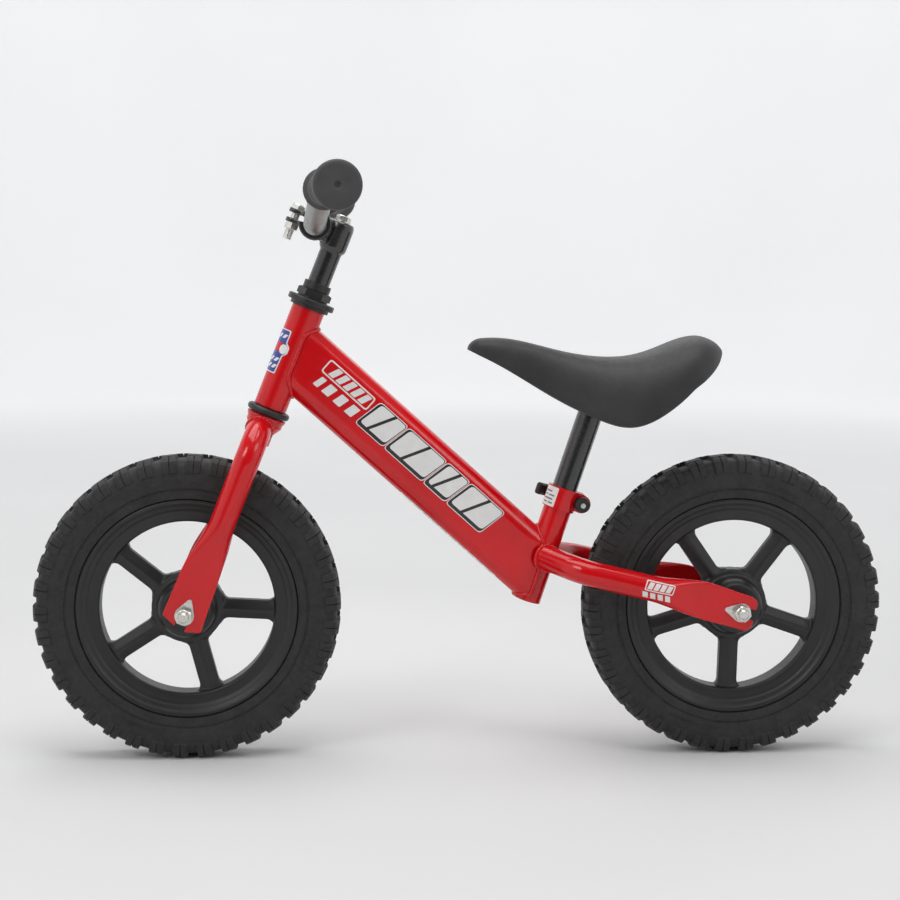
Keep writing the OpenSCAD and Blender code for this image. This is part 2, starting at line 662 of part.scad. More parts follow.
// Cam cheeks either side of the skewer's eye, and a handle that curves round the collar
module quick_release_lever() color(plastic_black) seat_frame() {
    difference() {
        union() {
            for (side = [-1, 1]) translate([release_x, lever_y, release_z + side * 4.3 - 1.7])
                cylinder(r = 6.9, h = 3.4);
            translate([0, 0, release_z]) rotate([0, 0, 226]) rotate_extrude(angle = 98)
                translate([lever_r, 0]) lever_section();
            translate([0, 0, release_z - 4.5]) rotate([0, 0, 324]) translate([lever_r, 0, 0])
                cylinder(r = 3.5, h = 9);
        }
        translate([release_x, lever_y, release_z - 20]) cylinder(r = 2 + run_gap, h = 40);
        translate([release_x, lever_y, release_z - 2.6]) cylinder(r = 5.2, h = 5.2);
        translate([release_x - 20, lever_y, release_z - 2.6]) cube([20, 20, 5.2]);
    }
}

// Section of the lever's handle, rounded at its top and bottom edges
module lever_section() {
    square([3, 12], center = true);
    square([7, 8], center = true);
    for (sx = [-1, 1], sy = [-1, 1]) translate([sx * 1.5, sy * 4]) circle(r = 2);
}

// ---------------------------------------------------------------- saddle

module seat_post() color(plastic_black) seat_frame() ring(post_d / 2, post_d / 2 - 1.8, post_z0, post_z1);

// Outline of the saddle from its nose at s = 0 to its tail at s = 1
saddle_nose_x = -3;
saddle_len = 254.5;
saddle_mid_z = 410;  // height that both ends close in on
saddle_steps = 28;
ring_steps = 10;

function bump(s, at, width) = exp(-pow((s - at) / width, 2));
// Grows like a quarter circle, from a blunt end at s = 0 to 1 at the given reach
function blunt(s, reach) = sqrt(1 - pow(1 - max(0.03, min(1, s / reach)), 2));
function saddle_x(s) = saddle_nose_x - saddle_len * s;
function saddle_level(s, z) = saddle_mid_z + (z - saddle_mid_z) * blunt(s, 0.05) * blunt(1 - s, 0.04);
function saddle_top(s) = saddle_level(s, 401.1 + 20.7 * bump(s, 0.1, 0.275) + 23.8 * bump(s, 0.915, 0.19)
    - 6.5 * pow(max(0, (s - 0.91) / 0.09), 1.3));
function saddle_edge(s) = saddle_level(s, s < 0.52
    ? 409 - 62 * pow(s / 0.52, 1.12)
    : 347 + 62 * pow((s - 0.52) / 0.48, 2.1) - 13.5 * sin(180 * min(1, (s - 0.52) / 0.34)));
function saddle_half(s) = (20 + 45 * pow(sin(90 * min(1, s / 0.74)), 3.4))
    * blunt(s, 0.07) * pow(blunt(1 - s, 0.2), 0.9);

// One rib of the saddle: a skin of the given thickness over the given outline, open below
function saddle_rib(s, inset) = let (
    x = saddle_x(inset > 0 ? 0.05 + 0.9 * s : s),
    t = inset > 0 ? 0.05 + 0.9 * s : s,
    w = saddle_half(t) - inset,
    top = saddle_top(t) - inset * 1.3,
    low = saddle_edge(t) + (inset > 0 ? -3 : 0))
    [for (i = [0 : 2 * ring_steps]) let (a = 180 * i / (2 * ring_steps))
        [x, w * sign(cos(a)) * pow(abs(cos(a)), 0.75), low + (top - low) * pow(sin(a), 0.62)]];

module saddle_solid(inset) loft([for (k = [0 : saddle_steps]) saddle_rib(k / saddle_steps, inset)]);

saddle_skin = 7;
module saddle() color(rubber_black) difference() {
    saddle_solid(0);
    saddle_solid(saddle_skin);
}

// Bolt holes through the tray and the post's plate
module saddle_bolt_places() for (x = [-18, 14], y = [-13, 13]) translate([x, y, 0]) children();

// The moulded tray that fills the saddle's mouth
tray_t = 4;
post_plate_t = 4;
module saddle_base() color(plastic_black) difference() {
    intersection() {
        seat_frame() translate([-70, -70, post_z1 + post_plate_t]) cube([130, 140, tray_t]);
        saddle_solid(saddle_skin);
    }
    seat_frame() saddle_bolt_places() cylinder(r = 2.5, h = 300);
}

module saddle_plate() color(plastic_black) seat_frame() difference() {
    translate([-25, -20, post_z1]) cube([46, 40, post_plate_t]);
    saddle_bolt_places() cylinder(r = 2.5, h = 300);
}

module saddle_bolts() color(steel_bright) seat_frame() saddle_bolt_places() {
    translate([0, 0, post_z1]) cylinder(r = 2.5, h = post_plate_t + tray_t + 2);
    translate([0, 0, post_z1 - 3.5]) cylinder(r = 5 / cos(30), h = 3.5, $fn = 6);
}

head_tube();
main_tube();
seat_tube();
chainstay_left();
chainstay_right();
headset_upper_cup();
headset_lower_cup();
headset_upper_balls();
headset_lower_balls();
seat_clamp();
clamp_skewer();
clamp_washer();
clamp_nut();
clamp_pivot_pin();
rear_axle();
rear_spacers();
rear_bearing_inners();
rear_tab_washers();
rear_axle_nuts();
fork_steerer();
fork_leg_left();
fork_leg_right();
crown_race();
headset_top_race();
headset_lock_nut();
headset_cap();
front_axle();
front_spacers();
front_bearing_inners();
front_tab_washers();
front_axle_nuts();
stem();
expander_bolt();
expander_wedge();
bar_clamp_bolt();
bar_clamp_nut();
handlebar();
grip_left();
grip_right();
seat_post();
saddle_plate();
saddle_bolts();
saddle_base();
saddle();
quick_release_lever();
front_tyre();
front_rim();
front_spokes();
front_hub();
front_bearing_outers();
front_bearing_balls();
rear_tyre();
rear_rim();
rear_spokes();
rear_hub();
rear_bearing_outers();
rear_bearing_balls();
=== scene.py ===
"""Looks of a child's balance bike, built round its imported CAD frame.

Lengths in the part sections are millimetres in a part's own frame, and Place turns them into
metres in the bike's frame. The bike points along +X, its left side along +Y, and +Z is up.
"""
import json
import math

import bmesh
import bpy
import numpy as np
from mathutils import Matrix, Vector


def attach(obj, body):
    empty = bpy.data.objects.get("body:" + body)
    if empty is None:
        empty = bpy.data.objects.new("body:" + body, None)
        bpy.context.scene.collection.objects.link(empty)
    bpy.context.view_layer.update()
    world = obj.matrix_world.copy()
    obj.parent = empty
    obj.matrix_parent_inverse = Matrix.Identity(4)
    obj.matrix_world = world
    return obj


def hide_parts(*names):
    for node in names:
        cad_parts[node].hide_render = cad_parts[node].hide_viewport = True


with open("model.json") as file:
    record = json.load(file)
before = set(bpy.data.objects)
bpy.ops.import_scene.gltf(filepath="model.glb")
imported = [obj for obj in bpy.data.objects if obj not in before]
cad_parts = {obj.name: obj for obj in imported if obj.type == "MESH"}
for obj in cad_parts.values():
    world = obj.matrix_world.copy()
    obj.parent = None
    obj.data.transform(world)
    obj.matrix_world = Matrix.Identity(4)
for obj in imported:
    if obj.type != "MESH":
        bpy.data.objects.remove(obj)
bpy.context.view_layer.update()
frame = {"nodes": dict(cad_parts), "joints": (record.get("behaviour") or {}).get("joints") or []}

MM = 0.001
ENDS = ("front", "rear")
SIDES = (("left", 1), ("right", -1))
JOINTS = {joint["name"]: joint for joint in frame["joints"]}


# ---- places
class Place:
    """A right-handed frame with its origin in metres, whose own coordinates are millimetres."""

    def __init__(self, origin, x_axis, z_axis):
        self.origin = np.array(origin, float)
        self.z = np.array(z_axis, float) / np.linalg.norm(z_axis)
        x = np.array(x_axis, float) - np.dot(x_axis, self.z) * self.z
        self.x = x / np.linalg.norm(x)
        self.y = np.cross(self.z, self.x)
        self.axes = np.array([self.x, self.y, self.z])

    def world(self, points):
        return self.origin + MM * np.asarray(points, float) @ self.axes

    def local(self, points):
        return (np.asarray(points, float) - self.origin) @ self.axes.T / MM

    def moved(self, x, y, z):
        return Place(self.world([x, y, z]), self.x, self.z)


AHEAD, LEFT, UP = np.eye(3)
RELEASE_AT = (-20.4, -17.5, 110.0)      # the lever's pivot in the seat tube's frame
STAY_SLOPE = math.radians(13.6)
MAIN_SLOPE = math.radians(41.7)
MAIN_POINT = (-0.017, 0, 0.240)         # a point on the main tube's axis

steer = Place(JOINTS["steering"]["pos_m"], AHEAD, JOINTS["steering"]["axis"])
seat = Place((0, 0, 0), AHEAD, JOINTS["seat_height"]["axis"])
seat.origin = np.array(JOINTS["quick_release"]["pos_m"]) - MM * np.array(RELEASE_AT) @ seat.axes
stays = Place(JOINTS["rear_wheel_spin"]["pos_m"],
              (math.cos(STAY_SLOPE), 0, math.sin(STAY_SLOPE)),
              (-math.sin(STAY_SLOPE), 0, math.cos(STAY_SLOPE)))
# the main tube's frame runs along Z, with its tall side along X
main = Place(MAIN_POINT, (math.sin(MAIN_SLOPE), 0, -math.cos(MAIN_SLOPE)),
             (math.cos(MAIN_SLOPE), 0, math.sin(MAIN_SLOPE)))
bar = Place(JOINTS["bar_tilt"]["pos_m"], AHEAD, UP)
# a wheel's own Z is its axle, and its X and Y lie in its plane
wheels = {end: Place(JOINTS[f"{end}_wheel_spin"]["pos_m"], AHEAD, -LEFT) for end in ENDS}


# ---- meshes
def grid_faces(rows, columns, wrap=True, loop=False):
    """Quads between rows of points; wrap joins each row's ends, and loop joins the last row to the first."""
    faces = []
    for i in range(rows if loop else rows - 1):
        for j in range(columns if wrap else columns - 1):
            k = (j + 1) % columns
            n = (i + 1) % rows
            faces.append((i * columns + j, i * columns + k, n * columns + k, n * columns + j))
    return faces


def skin(rings, caps=True, loop=False):
    """A closed solid through rings of points: (points, faces)."""
    rings = np.asarray(rings, float)
    rows, columns = rings.shape[:2]
    faces = grid_faces(rows, columns, loop=loop)
    if caps and not loop:
        faces.append(tuple(range(columns)))
        faces.append(tuple(range((rows - 1) * columns, rows * columns)))
    return rings.reshape(-1, 3), faces


def revolve(profile, segments=96):
    """A closed profile of (radius, height) turned about Z."""
    turns = np.linspace(0, 2 * math.pi, segments, endpoint=False)
    rings = [[(r * math.cos(a), r * math.sin(a), z) for r, z in profile] for a in turns]
    return skin(rings, loop=True)


def both_faces(half):
    """A closed profile across a wheel from the half of it on one side of the middle plane."""
    return list(half) + [(r, -z) for r, z in reversed(half)]


def prism(outline, z0, z1):
    """An outline in X and Y, extruded along Z."""
    return skin([[(x, y, z) for x, y in outline] for z in (z0, z1)])


def box(low, high):
    (x0, y0, z0), (x1, y1, z1) = low, high
    return prism([(x0, y0), (x1, y0), (x1, y1), (x0, y1)], z0, z1)


def turned(part, angle):
    """A part turned about Z, by degrees."""
    points, faces = part
    return points @ np.array(Matrix.Rotation(math.radians(angle), 3, "Z")).T, faces


def mirrored(part, flip=(1, -1, 1)):
    """A part reflected in the bike's middle plane, or as flip says."""
    return part[0] * flip, part[1]


def sweep(path, radii, sides=16, loop=False):
    """A round rod along a path, with a radius at each point."""
    path = np.asarray(path, float)
    count = len(path)
    ahead = np.roll(path, -1, axis=0) - np.roll(path, 1, axis=0)
    if not loop:
        ahead[0], ahead[-1] = path[1] - path[0], path[-1] - path[-2]
    ahead /= np.linalg.norm(ahead, axis=1)[:, None]
    side = np.cross(ahead[0], (0.31, 0.47, 0.83))
    rings = []
    turns = np.arange(sides) * 2 * math.pi / sides
    for i in range(count):
        side = side - (side @ ahead[i]) * ahead[i]
        side /= np.linalg.norm(side)
        other = np.cross(ahead[i], side)
        ring = np.cos(turns)[:, None] * side + np.sin(turns)[:, None] * other
        rings.append(path[i] + ring * np.broadcast_to(radii, count)[i])
    return skin(rings, loop=loop)


def joined(parts):
    """Several parts as one list of points and faces."""
    points, faces, start = [], [], 0
    for part_points, part_faces in parts:
        points.append(part_points)
        faces += [tuple(start + i for i in face) for face in part_faces]
        start += len(part_points)
    return np.concatenate(points), faces


def mesh_of(name, points, faces):
    mesh = bpy.data.meshes.new(name)
    mesh.from_pydata([tuple(p) for p in points], [], faces)
    work = bmesh.new()
    work.from_mesh(mesh)
    bmesh.ops.recalc_face_normals(work, faces=work.faces)
    work.to_mesh(mesh)
    work.free()
    return mesh


def finish_piece(name, mesh, finish, body, replaces=(), sharp=35):
    """Links a mesh as a piece that rides on a body, smooth but for edges sharper than an angle."""
    mesh.shade_smooth()
    mesh.set_sharp_from_angle(angle=math.radians(sharp))
    mesh.materials.append(finish)
    piece = bpy.data.objects.new(name, mesh)
    bpy.context.scene.collection.objects.link(piece)
    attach(piece, body)
    if replaces:
        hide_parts(*replaces)
    return piece


def piece(name, place, parts, finish, body, slot, replaces=(), sharp=35, bevel=0.0, subdivide=0):
    """One piece made of parts in a place's own millimetres."""
    points, faces = joined(parts if isinstance(parts, list) else [parts])
    made = finish_piece(name, mesh_of(name, place.world(points), faces), finish, body, replaces, sharp)
    if bevel:
        add_bevel(made, bevel)
    if subdivide:
        step = made.modifiers.new("subdivide", "SUBSURF")
        step.levels = step.render_levels = subdivide
    return made


BEVEL_ANGLE = math.radians(32)


def add_bevel(made, width):
    step = made.modifiers.new("edges", "BEVEL")
    step.limit_method = "ANGLE"
    step.angle_limit = BEVEL_ANGLE
    step.width = width * MM
    step.segments = 2
    step.harden_normals = True


def fused_mesh(name, place, parts, grain, smooth):
    """Overlapping closed parts melted into one skin, like a casting or a filled weld. grain is its voxel."""
    points, faces = joined(parts)
    rough = bpy.data.objects.new(name, mesh_of(name, place.world(points), faces))
    bpy.context.scene.collection.objects.link(rough)
    melt = rough.modifiers.new("melt", "REMESH")
    melt.mode = "VOXEL"
    melt.voxel_size = grain * MM
    soften = rough.modifiers.new("soften", "SMOOTH")
    soften.factor = 0.5
    soften.iterations = smooth
    shape = rough.evaluated_get(bpy.context.evaluated_depsgraph_get())
    mesh = bpy.data.meshes.new_from_object(shape)
    mesh.name = name
    bpy.data.objects.remove(rough)
    return mesh


def fused(name, place, parts, finish, body, replaces, grain, smooth=3):
    """One piece made by melting parts together."""
    mesh = fused_mesh(name, place, parts, grain, smooth)
    return finish_piece(name, mesh, finish, body, replaces, sharp=180)


def ease(t):
    """A smooth step from 0 to 1."""
    t = np.clip(t, 0, 1)
    return t * t * (3 - 2 * t)


# ---- finishes
NOISE_LOW, NOISE_HIGH = 0.3, 0.7        # most of a noise texture's values lie between these


class Finish:
    """A procedural material. Its textures lie in the object's own metres, so their scale is real."""

    def __init__(self, name, color, roughness, **sockets):
        self.material = bpy.data.materials.new(name)
        self.material.use_nodes = True
        self.material.diffuse_color = (*color, 1)
        self.nodes = self.material.node_tree.nodes
        self.links = self.material.node_tree.links
        self.shader = self.nodes["Principled BSDF"]
        self.set("Base Color", (*color, 1))
        self.set("Roughness", roughness)
        for socket, value in sockets.items():
            self.set(socket.replace("_", " "), value)
        self.space = self.nodes.new("ShaderNodeTexCoord").outputs["Object"]

    def set(self, socket, value):
        self.shader.inputs[socket].default_value = value

    def add(self, kind, inputs, output):
        node = self.nodes.new(kind)
        for name, value in inputs.items():
            if isinstance(value, bpy.types.NodeSocket):
                self.links.new(value, node.inputs[name])
            else:
                node.inputs[name].default_value = value
        return node.outputs[output]

    def noise(self, size_mm, detail=2.0, roughness=0.5, stretch=None):
        """Noise whose lumps are about size_mm across."""
        space = self.space
        if stretch:
            space = self.add("ShaderNodeMapping", {"Vector": space, "Scale": stretch}, "Vector")
        return self.add("ShaderNodeTexNoise", {"Vector": space, "Scale": 1 / (size_mm * MM), "Detail": detail,
                                               "Roughness": roughness}, "Fac")

    def cells(self, size_mm):
        inputs = {"Vector": self.space, "Scale": 1 / (size_mm * MM)}
        return self.add("ShaderNodeTexVoronoi", inputs, "Distance")

    def spread(self, value, low, high, start=NOISE_LOW, stop=NOISE_HIGH):
        """A texture's value, from start to stop, turned into a range."""
        return self.add("ShaderNodeMapRange", {"Value": value, "From Min": start, "From Max": stop,
                                               "To Min": low, "To Max": high}, "Result")

    def tint(self, value, dark, light):
        """Base colour that a texture blends from dark to light."""
        node = self.nodes.new("ShaderNodeValToRGB")
        for end, place, color in zip(node.color_ramp.elements, (NOISE_LOW, NOISE_HIGH), (dark, light)):
            end.position = place
            end.color = (*color, 1)
        self.links.new(value, node.inputs["Fac"])
        self.links.new(node.outputs["Color"], self.shader.inputs["Base Color"])

    def rough(self, value, low, high):
        self.links.new(self.spread(value, low, high), self.shader.inputs["Roughness"])

    def bump(self, *layers):
        """Bumps laid on each other, each a (height, depth in mm)."""
        normal = None
        for height, depth in layers:
            inputs = {"Height": height, "Strength": 1.0, "Distance": depth * MM}
            if normal is not None:
                inputs["Normal"] = normal
            normal = self.add("ShaderNodeBump", inputs, "Normal")
        self.links.new(normal, self.shader.inputs["Normal"])

    def node(self, kind, operation, output, *inputs):
        """A maths node of a kind, fed with sockets or plain values."""
        node = self.nodes.new(kind)
        node.operation = operation
        for socket, value in zip(node.inputs, inputs):
            if isinstance(value, bpy.types.NodeSocket):
                self.links.new(value, socket)
            else:
                socket.default_value = value
        return node.outputs[output]


def red_paint():
    f = Finish("red_paint", (0.56, 0.002, 0.006), 0.16, Coat_Weight=0.25, Coat_Roughness=0.05,
               Specular_IOR_Level=0.4)
    f.tint(f.noise(60, 2), (0.56, 0.001, 0.004), (0.66, 0.002, 0.006))
    f.rough(f.noise(9, 3), 0.13, 0.22)
    f.bump((f.noise(2.6, 1), 0.035), (f.noise(40, 2), 0.25))
    return f.material


def black_paint():
    f = Finish("black_paint", (0.012, 0.012, 0.013), 0.2, Coat_Weight=0.8, Coat_Roughness=0.06)
    f.tint(f.noise(25, 3), (0.009, 0.009, 0.010), (0.018, 0.018, 0.019))
    f.rough(f.noise(5, 3), 0.16, 0.32)
    f.bump((f.noise(2.2, 1), 0.04))
    return f.material


def moulded_plastic(name, color, roughness):
    f = Finish(name, color, roughness)
    light = tuple(1.35 * c for c in color)
    f.tint(f.noise(30, 4), color, light)
    f.rough(f.noise(3, 4), roughness - 0.06, roughness + 0.08)
    f.bump((f.noise(0.7, 2), 0.03), (f.noise(14, 2), 0.1))
    return f.material


def tyre_foam():
    f = Finish("tyre_foam", (0.017, 0.0165, 0.0165), 0.72, Sheen_Weight=0.08, Sheen_Roughness=0.5)
    f.tint(f.noise(18, 4), (0.014, 0.0135, 0.0135), (0.023, 0.0225, 0.022))
    f.rough(f.noise(4, 3), 0.62, 0.82)
    f.bump((f.cells(0.9), 0.10), (f.noise(0.5, 3), 0.08), (f.noise(16, 2), 0.35))
    return f.material


def soft_rubber(name, color, roughness, grain_mm):
    f = Finish(name, color, roughness, Sheen_Weight=0.1, Sheen_Roughness=0.4)
    light = tuple(1.3 * c for c in color)
    f.tint(f.noise(12, 4), color, light)
    f.rough(f.noise(3, 3), roughness - 0.07, roughness + 0.07)
    f.bump((f.noise(grain_mm, 3), 0.05), (f.noise(7, 2), 0.08))
    return f.material


def saddle_foam():
    f = Finish("saddle_foam", (0.028, 0.0275, 0.028), 0.55, Sheen_Weight=0.05, Sheen_Roughness=0.45,
               Specular_IOR_Level=0.4)
    f.tint(f.noise(35, 4), (0.024, 0.0235, 0.024), (0.034, 0.0335, 0.034))
    f.rough(f.noise(6, 3), 0.5, 0.62)
    f.bump((f.cells(1.1), 0.11), (f.noise(0.6, 3), 0.05), (f.noise(30, 2), 0.2))
    return f.material


def plated_steel(name, color, roughness, grain=(1, 1, 1)):
    f = Finish(name, color, roughness, Metallic=1.0)
    dark = tuple(0.82 * c for c in color)
    f.tint(f.noise(6, 4, 0.6), dark, color)
    f.rough(f.noise(1.2, 4, 0.6, grain), roughness - 0.07, roughness + 0.12)
    f.bump((f.noise(0.5, 3, 0.6, grain), 0.02))
    return f.material


def vinyl(name, color):
    f = Finish(name, color, 0.3, Coat_Weight=0.5, Coat_Roughness=0.08)
    f.tint(f.noise(12, 3), tuple(0.93 * c for c in color), color)
    f.rough(f.noise(4, 3), 0.25, 0.4)
    f.bump((f.noise(1.5, 2), 0.02))
    return f.material


RED = red_paint()
BLACK = black_paint()
RIM = moulded_plastic("rim_plastic", (0.013, 0.013, 0.0135), 0.42)
PLASTIC = moulded_plastic("fitting_plastic", (0.016, 0.016, 0.017), 0.36)
TYRE = tyre_foam()
GRIP = soft_rubber("grip_rubber", (0.047, 0.046, 0.048), 0.6, 0.8)
RUBBER = soft_rubber("ring_rubber", (0.012, 0.012, 0.012), 0.42, 0.9)
SADDLE = saddle_foam()
ZINC = plated_steel("zinc_steel", (0.78, 0.77, 0.72), 0.27)
BEARING = plated_steel("bearing_steel", (0.72, 0.72, 0.72), 0.16)
SATIN = plated_steel("bar_satin", (0.42, 0.43, 0.42), 0.38, (1, 0.15, 1))
WHITE = vinyl("vinyl_white", (0.80, 0.79, 0.78))
INK = vinyl("vinyl_black", (0.012, 0.012, 0.014))
BLUE = vinyl("vinyl_blue", (0.020, 0.045, 0.30))
GREY_INK = vinyl("vinyl_grey", (0.16, 0.16, 0.17))


# ---- wheels
SPOKES = 5
SPOKE_PHASE = {"front": 39, "rear": 55}     # first spoke, in degrees from straight ahead
HUB_R, WINDOW_R, CHANNEL_R, RIM_R = 35, 86.5, 95, 109.8
PITCHES = 38                                # tread blocks round a tyre
# Blocks along one pitch: place, height of a centre block, height of a shoulder block
TREAD_TURN = ((0.00, 1, 0), (0.03, 1, 1), (0.10, 1, 1), (0.13, 0, 1), (0.30, 0, 1), (0.315, 0, 0.4),
              (0.335, 0, 0.4), (0.35, 0, 1), (0.50, 0, 1), (0.53, 1, 1), (0.60, 1, 1), (0.63, 1, 0),
              (0.80, 1, 0))
# Half of a tyre across its tread: groove radius and width, block radius and width, row (1 centre, 2 shoulder)
TREAD_ACROSS = ((148.6, 0, 152.4, 0, 1), (148.6, 3.5, 152.4, 3.5, 1), (148.6, 7.8, 152.2, 7.2, 1),
                (148.6, 8.0, 148.6, 8.0, 0), (148.3, 9.6, 148.3, 9.6, 0), (148.3, 9.8, 152.0, 10.4, 2),
                (147.6, 14.4, 151.0, 15.6, 2), (145.2, 18.3, 148.3, 20.2, 2), (141.4, 20.7, 143.4, 22.6, 2),
                (136.8, 21.8, 136.9, 23.0, 2), (136.0, 21.9, 136.0, 21.9, 0), (133, 22.2, 133, 22.2, 0),
                (128.5, 22.4, 128.5, 22.4, 0), (124.2, 22.1, 124.2, 22.1, 0), (121.0, 21.6, 121.0, 21.6, 0),
                (120.2, 20.5, 120.2, 20.5, 0), (118.8, 20.5, 118.8, 20.5, 0), (118.1, 21.5, 118.1, 21.5, 0),
                (113.0, 21.1, 113.0, 21.1, 0), (110.8, 20.3, 110.8, 20.3, 0), (110.2, 18.8, 110.2, 18.8, 0),
                (110.1, 15.9, 110.1, 15.9, 0), (95.2, 9.2, 95.2, 9.2, 0))


def tyre_shape():
    places, centre, shoulder = np.array(TREAD_TURN).T
    columns = np.unique(np.round(np.concatenate((places, (places + 0.5) % 1)), 4))
    rings = []
    for pitch in range(PITCHES):
        for place in columns:
            angle = 2 * math.pi * (pitch + place) / PITCHES
            ring = []
            for side, shift in ((1, 0.0), (-1, 0.5)):
                heights = (0, np.interp(place, places, centre, period=1),
                           np.interp((place + shift) % 1, places, shoulder, period=1))
                half = []
                for low_r, low_y, high_r, high_y, row in TREAD_ACROSS:
                    t = heights[row]
                    r = low_r + (high_r - low_r) * t
                    y = low_y + (high_y - low_y) * t
                    half.append((r * math.cos(angle), r * math.sin(angle), side * y))
                ring += half[:0:-1] if side > 0 else half
            rings.append(ring)
    return skin(rings, loop=True)


RIB_ARCS, ARC_RIBS = 4, 15
ARC_START, RIB_STEP = 14, 1.15          # an arc's first rib and the step between ribs, in degrees
RIB_R, RIB_HALF_W = 126.6, 0.55
RIB_FOOT, RIB_TOP = 21.9, 22.75         # from the wheel's middle plane


def sidewall_ribs():
    """Short moulded ribs in arcs on each sidewall, every third one longer."""
    parts = []
    for side in (1, -1):
        for arc in range(RIB_ARCS):
            for i in range(ARC_RIBS):
                half = 1.2 if i % 3 else 2.1
                rib = box((RIB_R - half, -RIB_HALF_W, RIB_FOOT), (RIB_R + half, RIB_HALF_W, RIB_TOP))
                angle = arc * 360 / RIB_ARCS + ARC_START + i * RIB_STEP
                parts.append(turned(mirrored(rib, (1, 1, side)), angle))
    return parts


def corner(distance, radius):
    """How far a spoke widens, at a distance from the ring it grows from."""
    d = min(max(distance, 0), radius)
    return radius - math.sqrt(radius * radius - (radius - d) ** 2)


SPOKE_HALF_W, SPOKE_CHAMFER = 9.6, 1.5
SPOKE_EDGE, SPOKE_SHOULDER, SPOKE_RIDGE = 4.8, 5.7, 8.9     # half thickness at its edge, chamfer and ridge
RIDGE_HALF_W = 1.2
HUB_FILLET, RIM_FILLET = 7, 8


def spoke():
    """A spoke along X that widens into the hub and the rim, with a ridge along its middle."""
    rings = []
    for r in np.linspace(HUB_R - HUB_FILLET, WINDOW_R + 3, 40):
        w = SPOKE_HALF_W + corner(r - HUB_R + 1, HUB_FILLET) + corner(WINDOW_R - r, RIM_FILLET)
        half = [(w, SPOKE_EDGE), (w - SPOKE_CHAMFER, SPOKE_SHOULDER), (RIDGE_HALF_W, SPOKE_RIDGE)]
        face = [(-y, z) for y, z in half] + half[::-1]
        rings.append([(r, y, z) for y, z in [(-w, -SPOKE_EDGE), *face, *[(y, -z) for y, z in face[:0:-1]]]])
    return skin(rings)


RIM_SECTION = ((WINDOW_R, 9.5), (87.0, 11.6), (88.6, 12.8), (92.5, 13.4), (97.6, 14.0), (99.2, 15.6),
               (103.2, 17.4), (105.4, 19.3), (107.4, 19.9), (108.8, 19.6), (RIM_R, 18.2), (RIM_R, 15.9),
               (CHANNEL_R, 9.0))
HUB_SECTION = ((8.8, 22), (13.05, 22), (13.05, 31), (22.6, 31), (24.6, 30.3), (27.6, 25), (28.6, 13),
               (30.5, 10.2), (35.0, 8.8), (36.0, 7.2))
SEAL_SECTION = ((7.55, 28.9), (10.35, 28.9), (10.35, 29.7), (9.0, 29.9), (7.55, 29.7))
rim_grain = 0.9


def wheel(end):
    place = wheels[end]
    body = f"{end}_wheel"
    piece(f"{end}_tyre_treaded", place, tyre_shape(), TYRE, body, "tyre_foam", [f"{end}_tyre"], sharp=28)
    piece(f"{end}_tyre_sidewall_ribs", place, sidewall_ribs(), TYRE, body, "tyre_foam")
    parts = [revolve(both_faces(RIM_SECTION), 180), revolve(both_faces(HUB_SECTION), 120)]
    parts += [turned(spoke(), SPOKE_PHASE[end] + i * 360 / SPOKES) for i in range(SPOKES)]
    fused(f"{end}_rim_moulded", place, parts, RIM, body,
          [f"{end}_rim", f"{end}_spokes", f"{end}_hub"], rim_grain)
    seals = [revolve([(r, side * z) for r, z in SEAL_SECTION], 64) for side in (1, -1)]
    piece(f"{end}_bearing_seals", place, seals, RUBBER, body, "headset_rubber")


for end in ENDS:
    wheel(end)


# ---- bent and flattened tubes
PLATE_T = 4.0           # thickness of a dropout plate
PLATE_MID = 48.5        # its middle, from the bike's middle plane
TUBE_R = 12.7
FLAT_STEPS, BEND_STEPS = 24, 20
tube_grain = 0.75


def flat_ring(centre, u, v, wide, thick, sides=64):
    """Section of a tube squeezed flat: half height thick along v and half width wide along u."""
    turns = (np.arange(sides) + 0.5) * 2 * math.pi / sides
    across = thick * np.cos(turns) + np.sign(np.cos(turns)) * (wide - thick)
    return np.array(centre) + across[:, None] * np.array(u) + (thick * np.sin(turns))[:, None] * np.array(v)


def squeezed(thick):
    """Half width of a tube once it is squeezed to a half height, its girth unchanged."""
    return math.pi * TUBE_R / 2 + (1 - math.pi / 2) * thick


def flattening(t):
    """Half height of a tube, and its way from plate to round, t from 0 to 1."""
    e = float(ease(t))
    return PLATE_T / 2 + (TUBE_R - PLATE_T / 2) * e, e


# Each tube runs along one axis from its dropout: out is its distance from the middle plane and level its
# place along side. It is flat to round over flat, then bends inwards from bend_at and runs on straight.
FORK = {"along": UP, "side": AHEAD, "out": 43, "level": 2, "slip": 2, "flat": (42, 98), "bend_at": 158,
        "bend_r": 34, "bend": 66, "run": 9, "run_steps": 6}
STAY = {"along": AHEAD, "side": UP, "out": 51, "level": 3, "slip": 0, "flat": (38, 96), "bend_at": 150,
        "bend_r": 34, "bend": 49, "run": 36, "run_steps": 12}


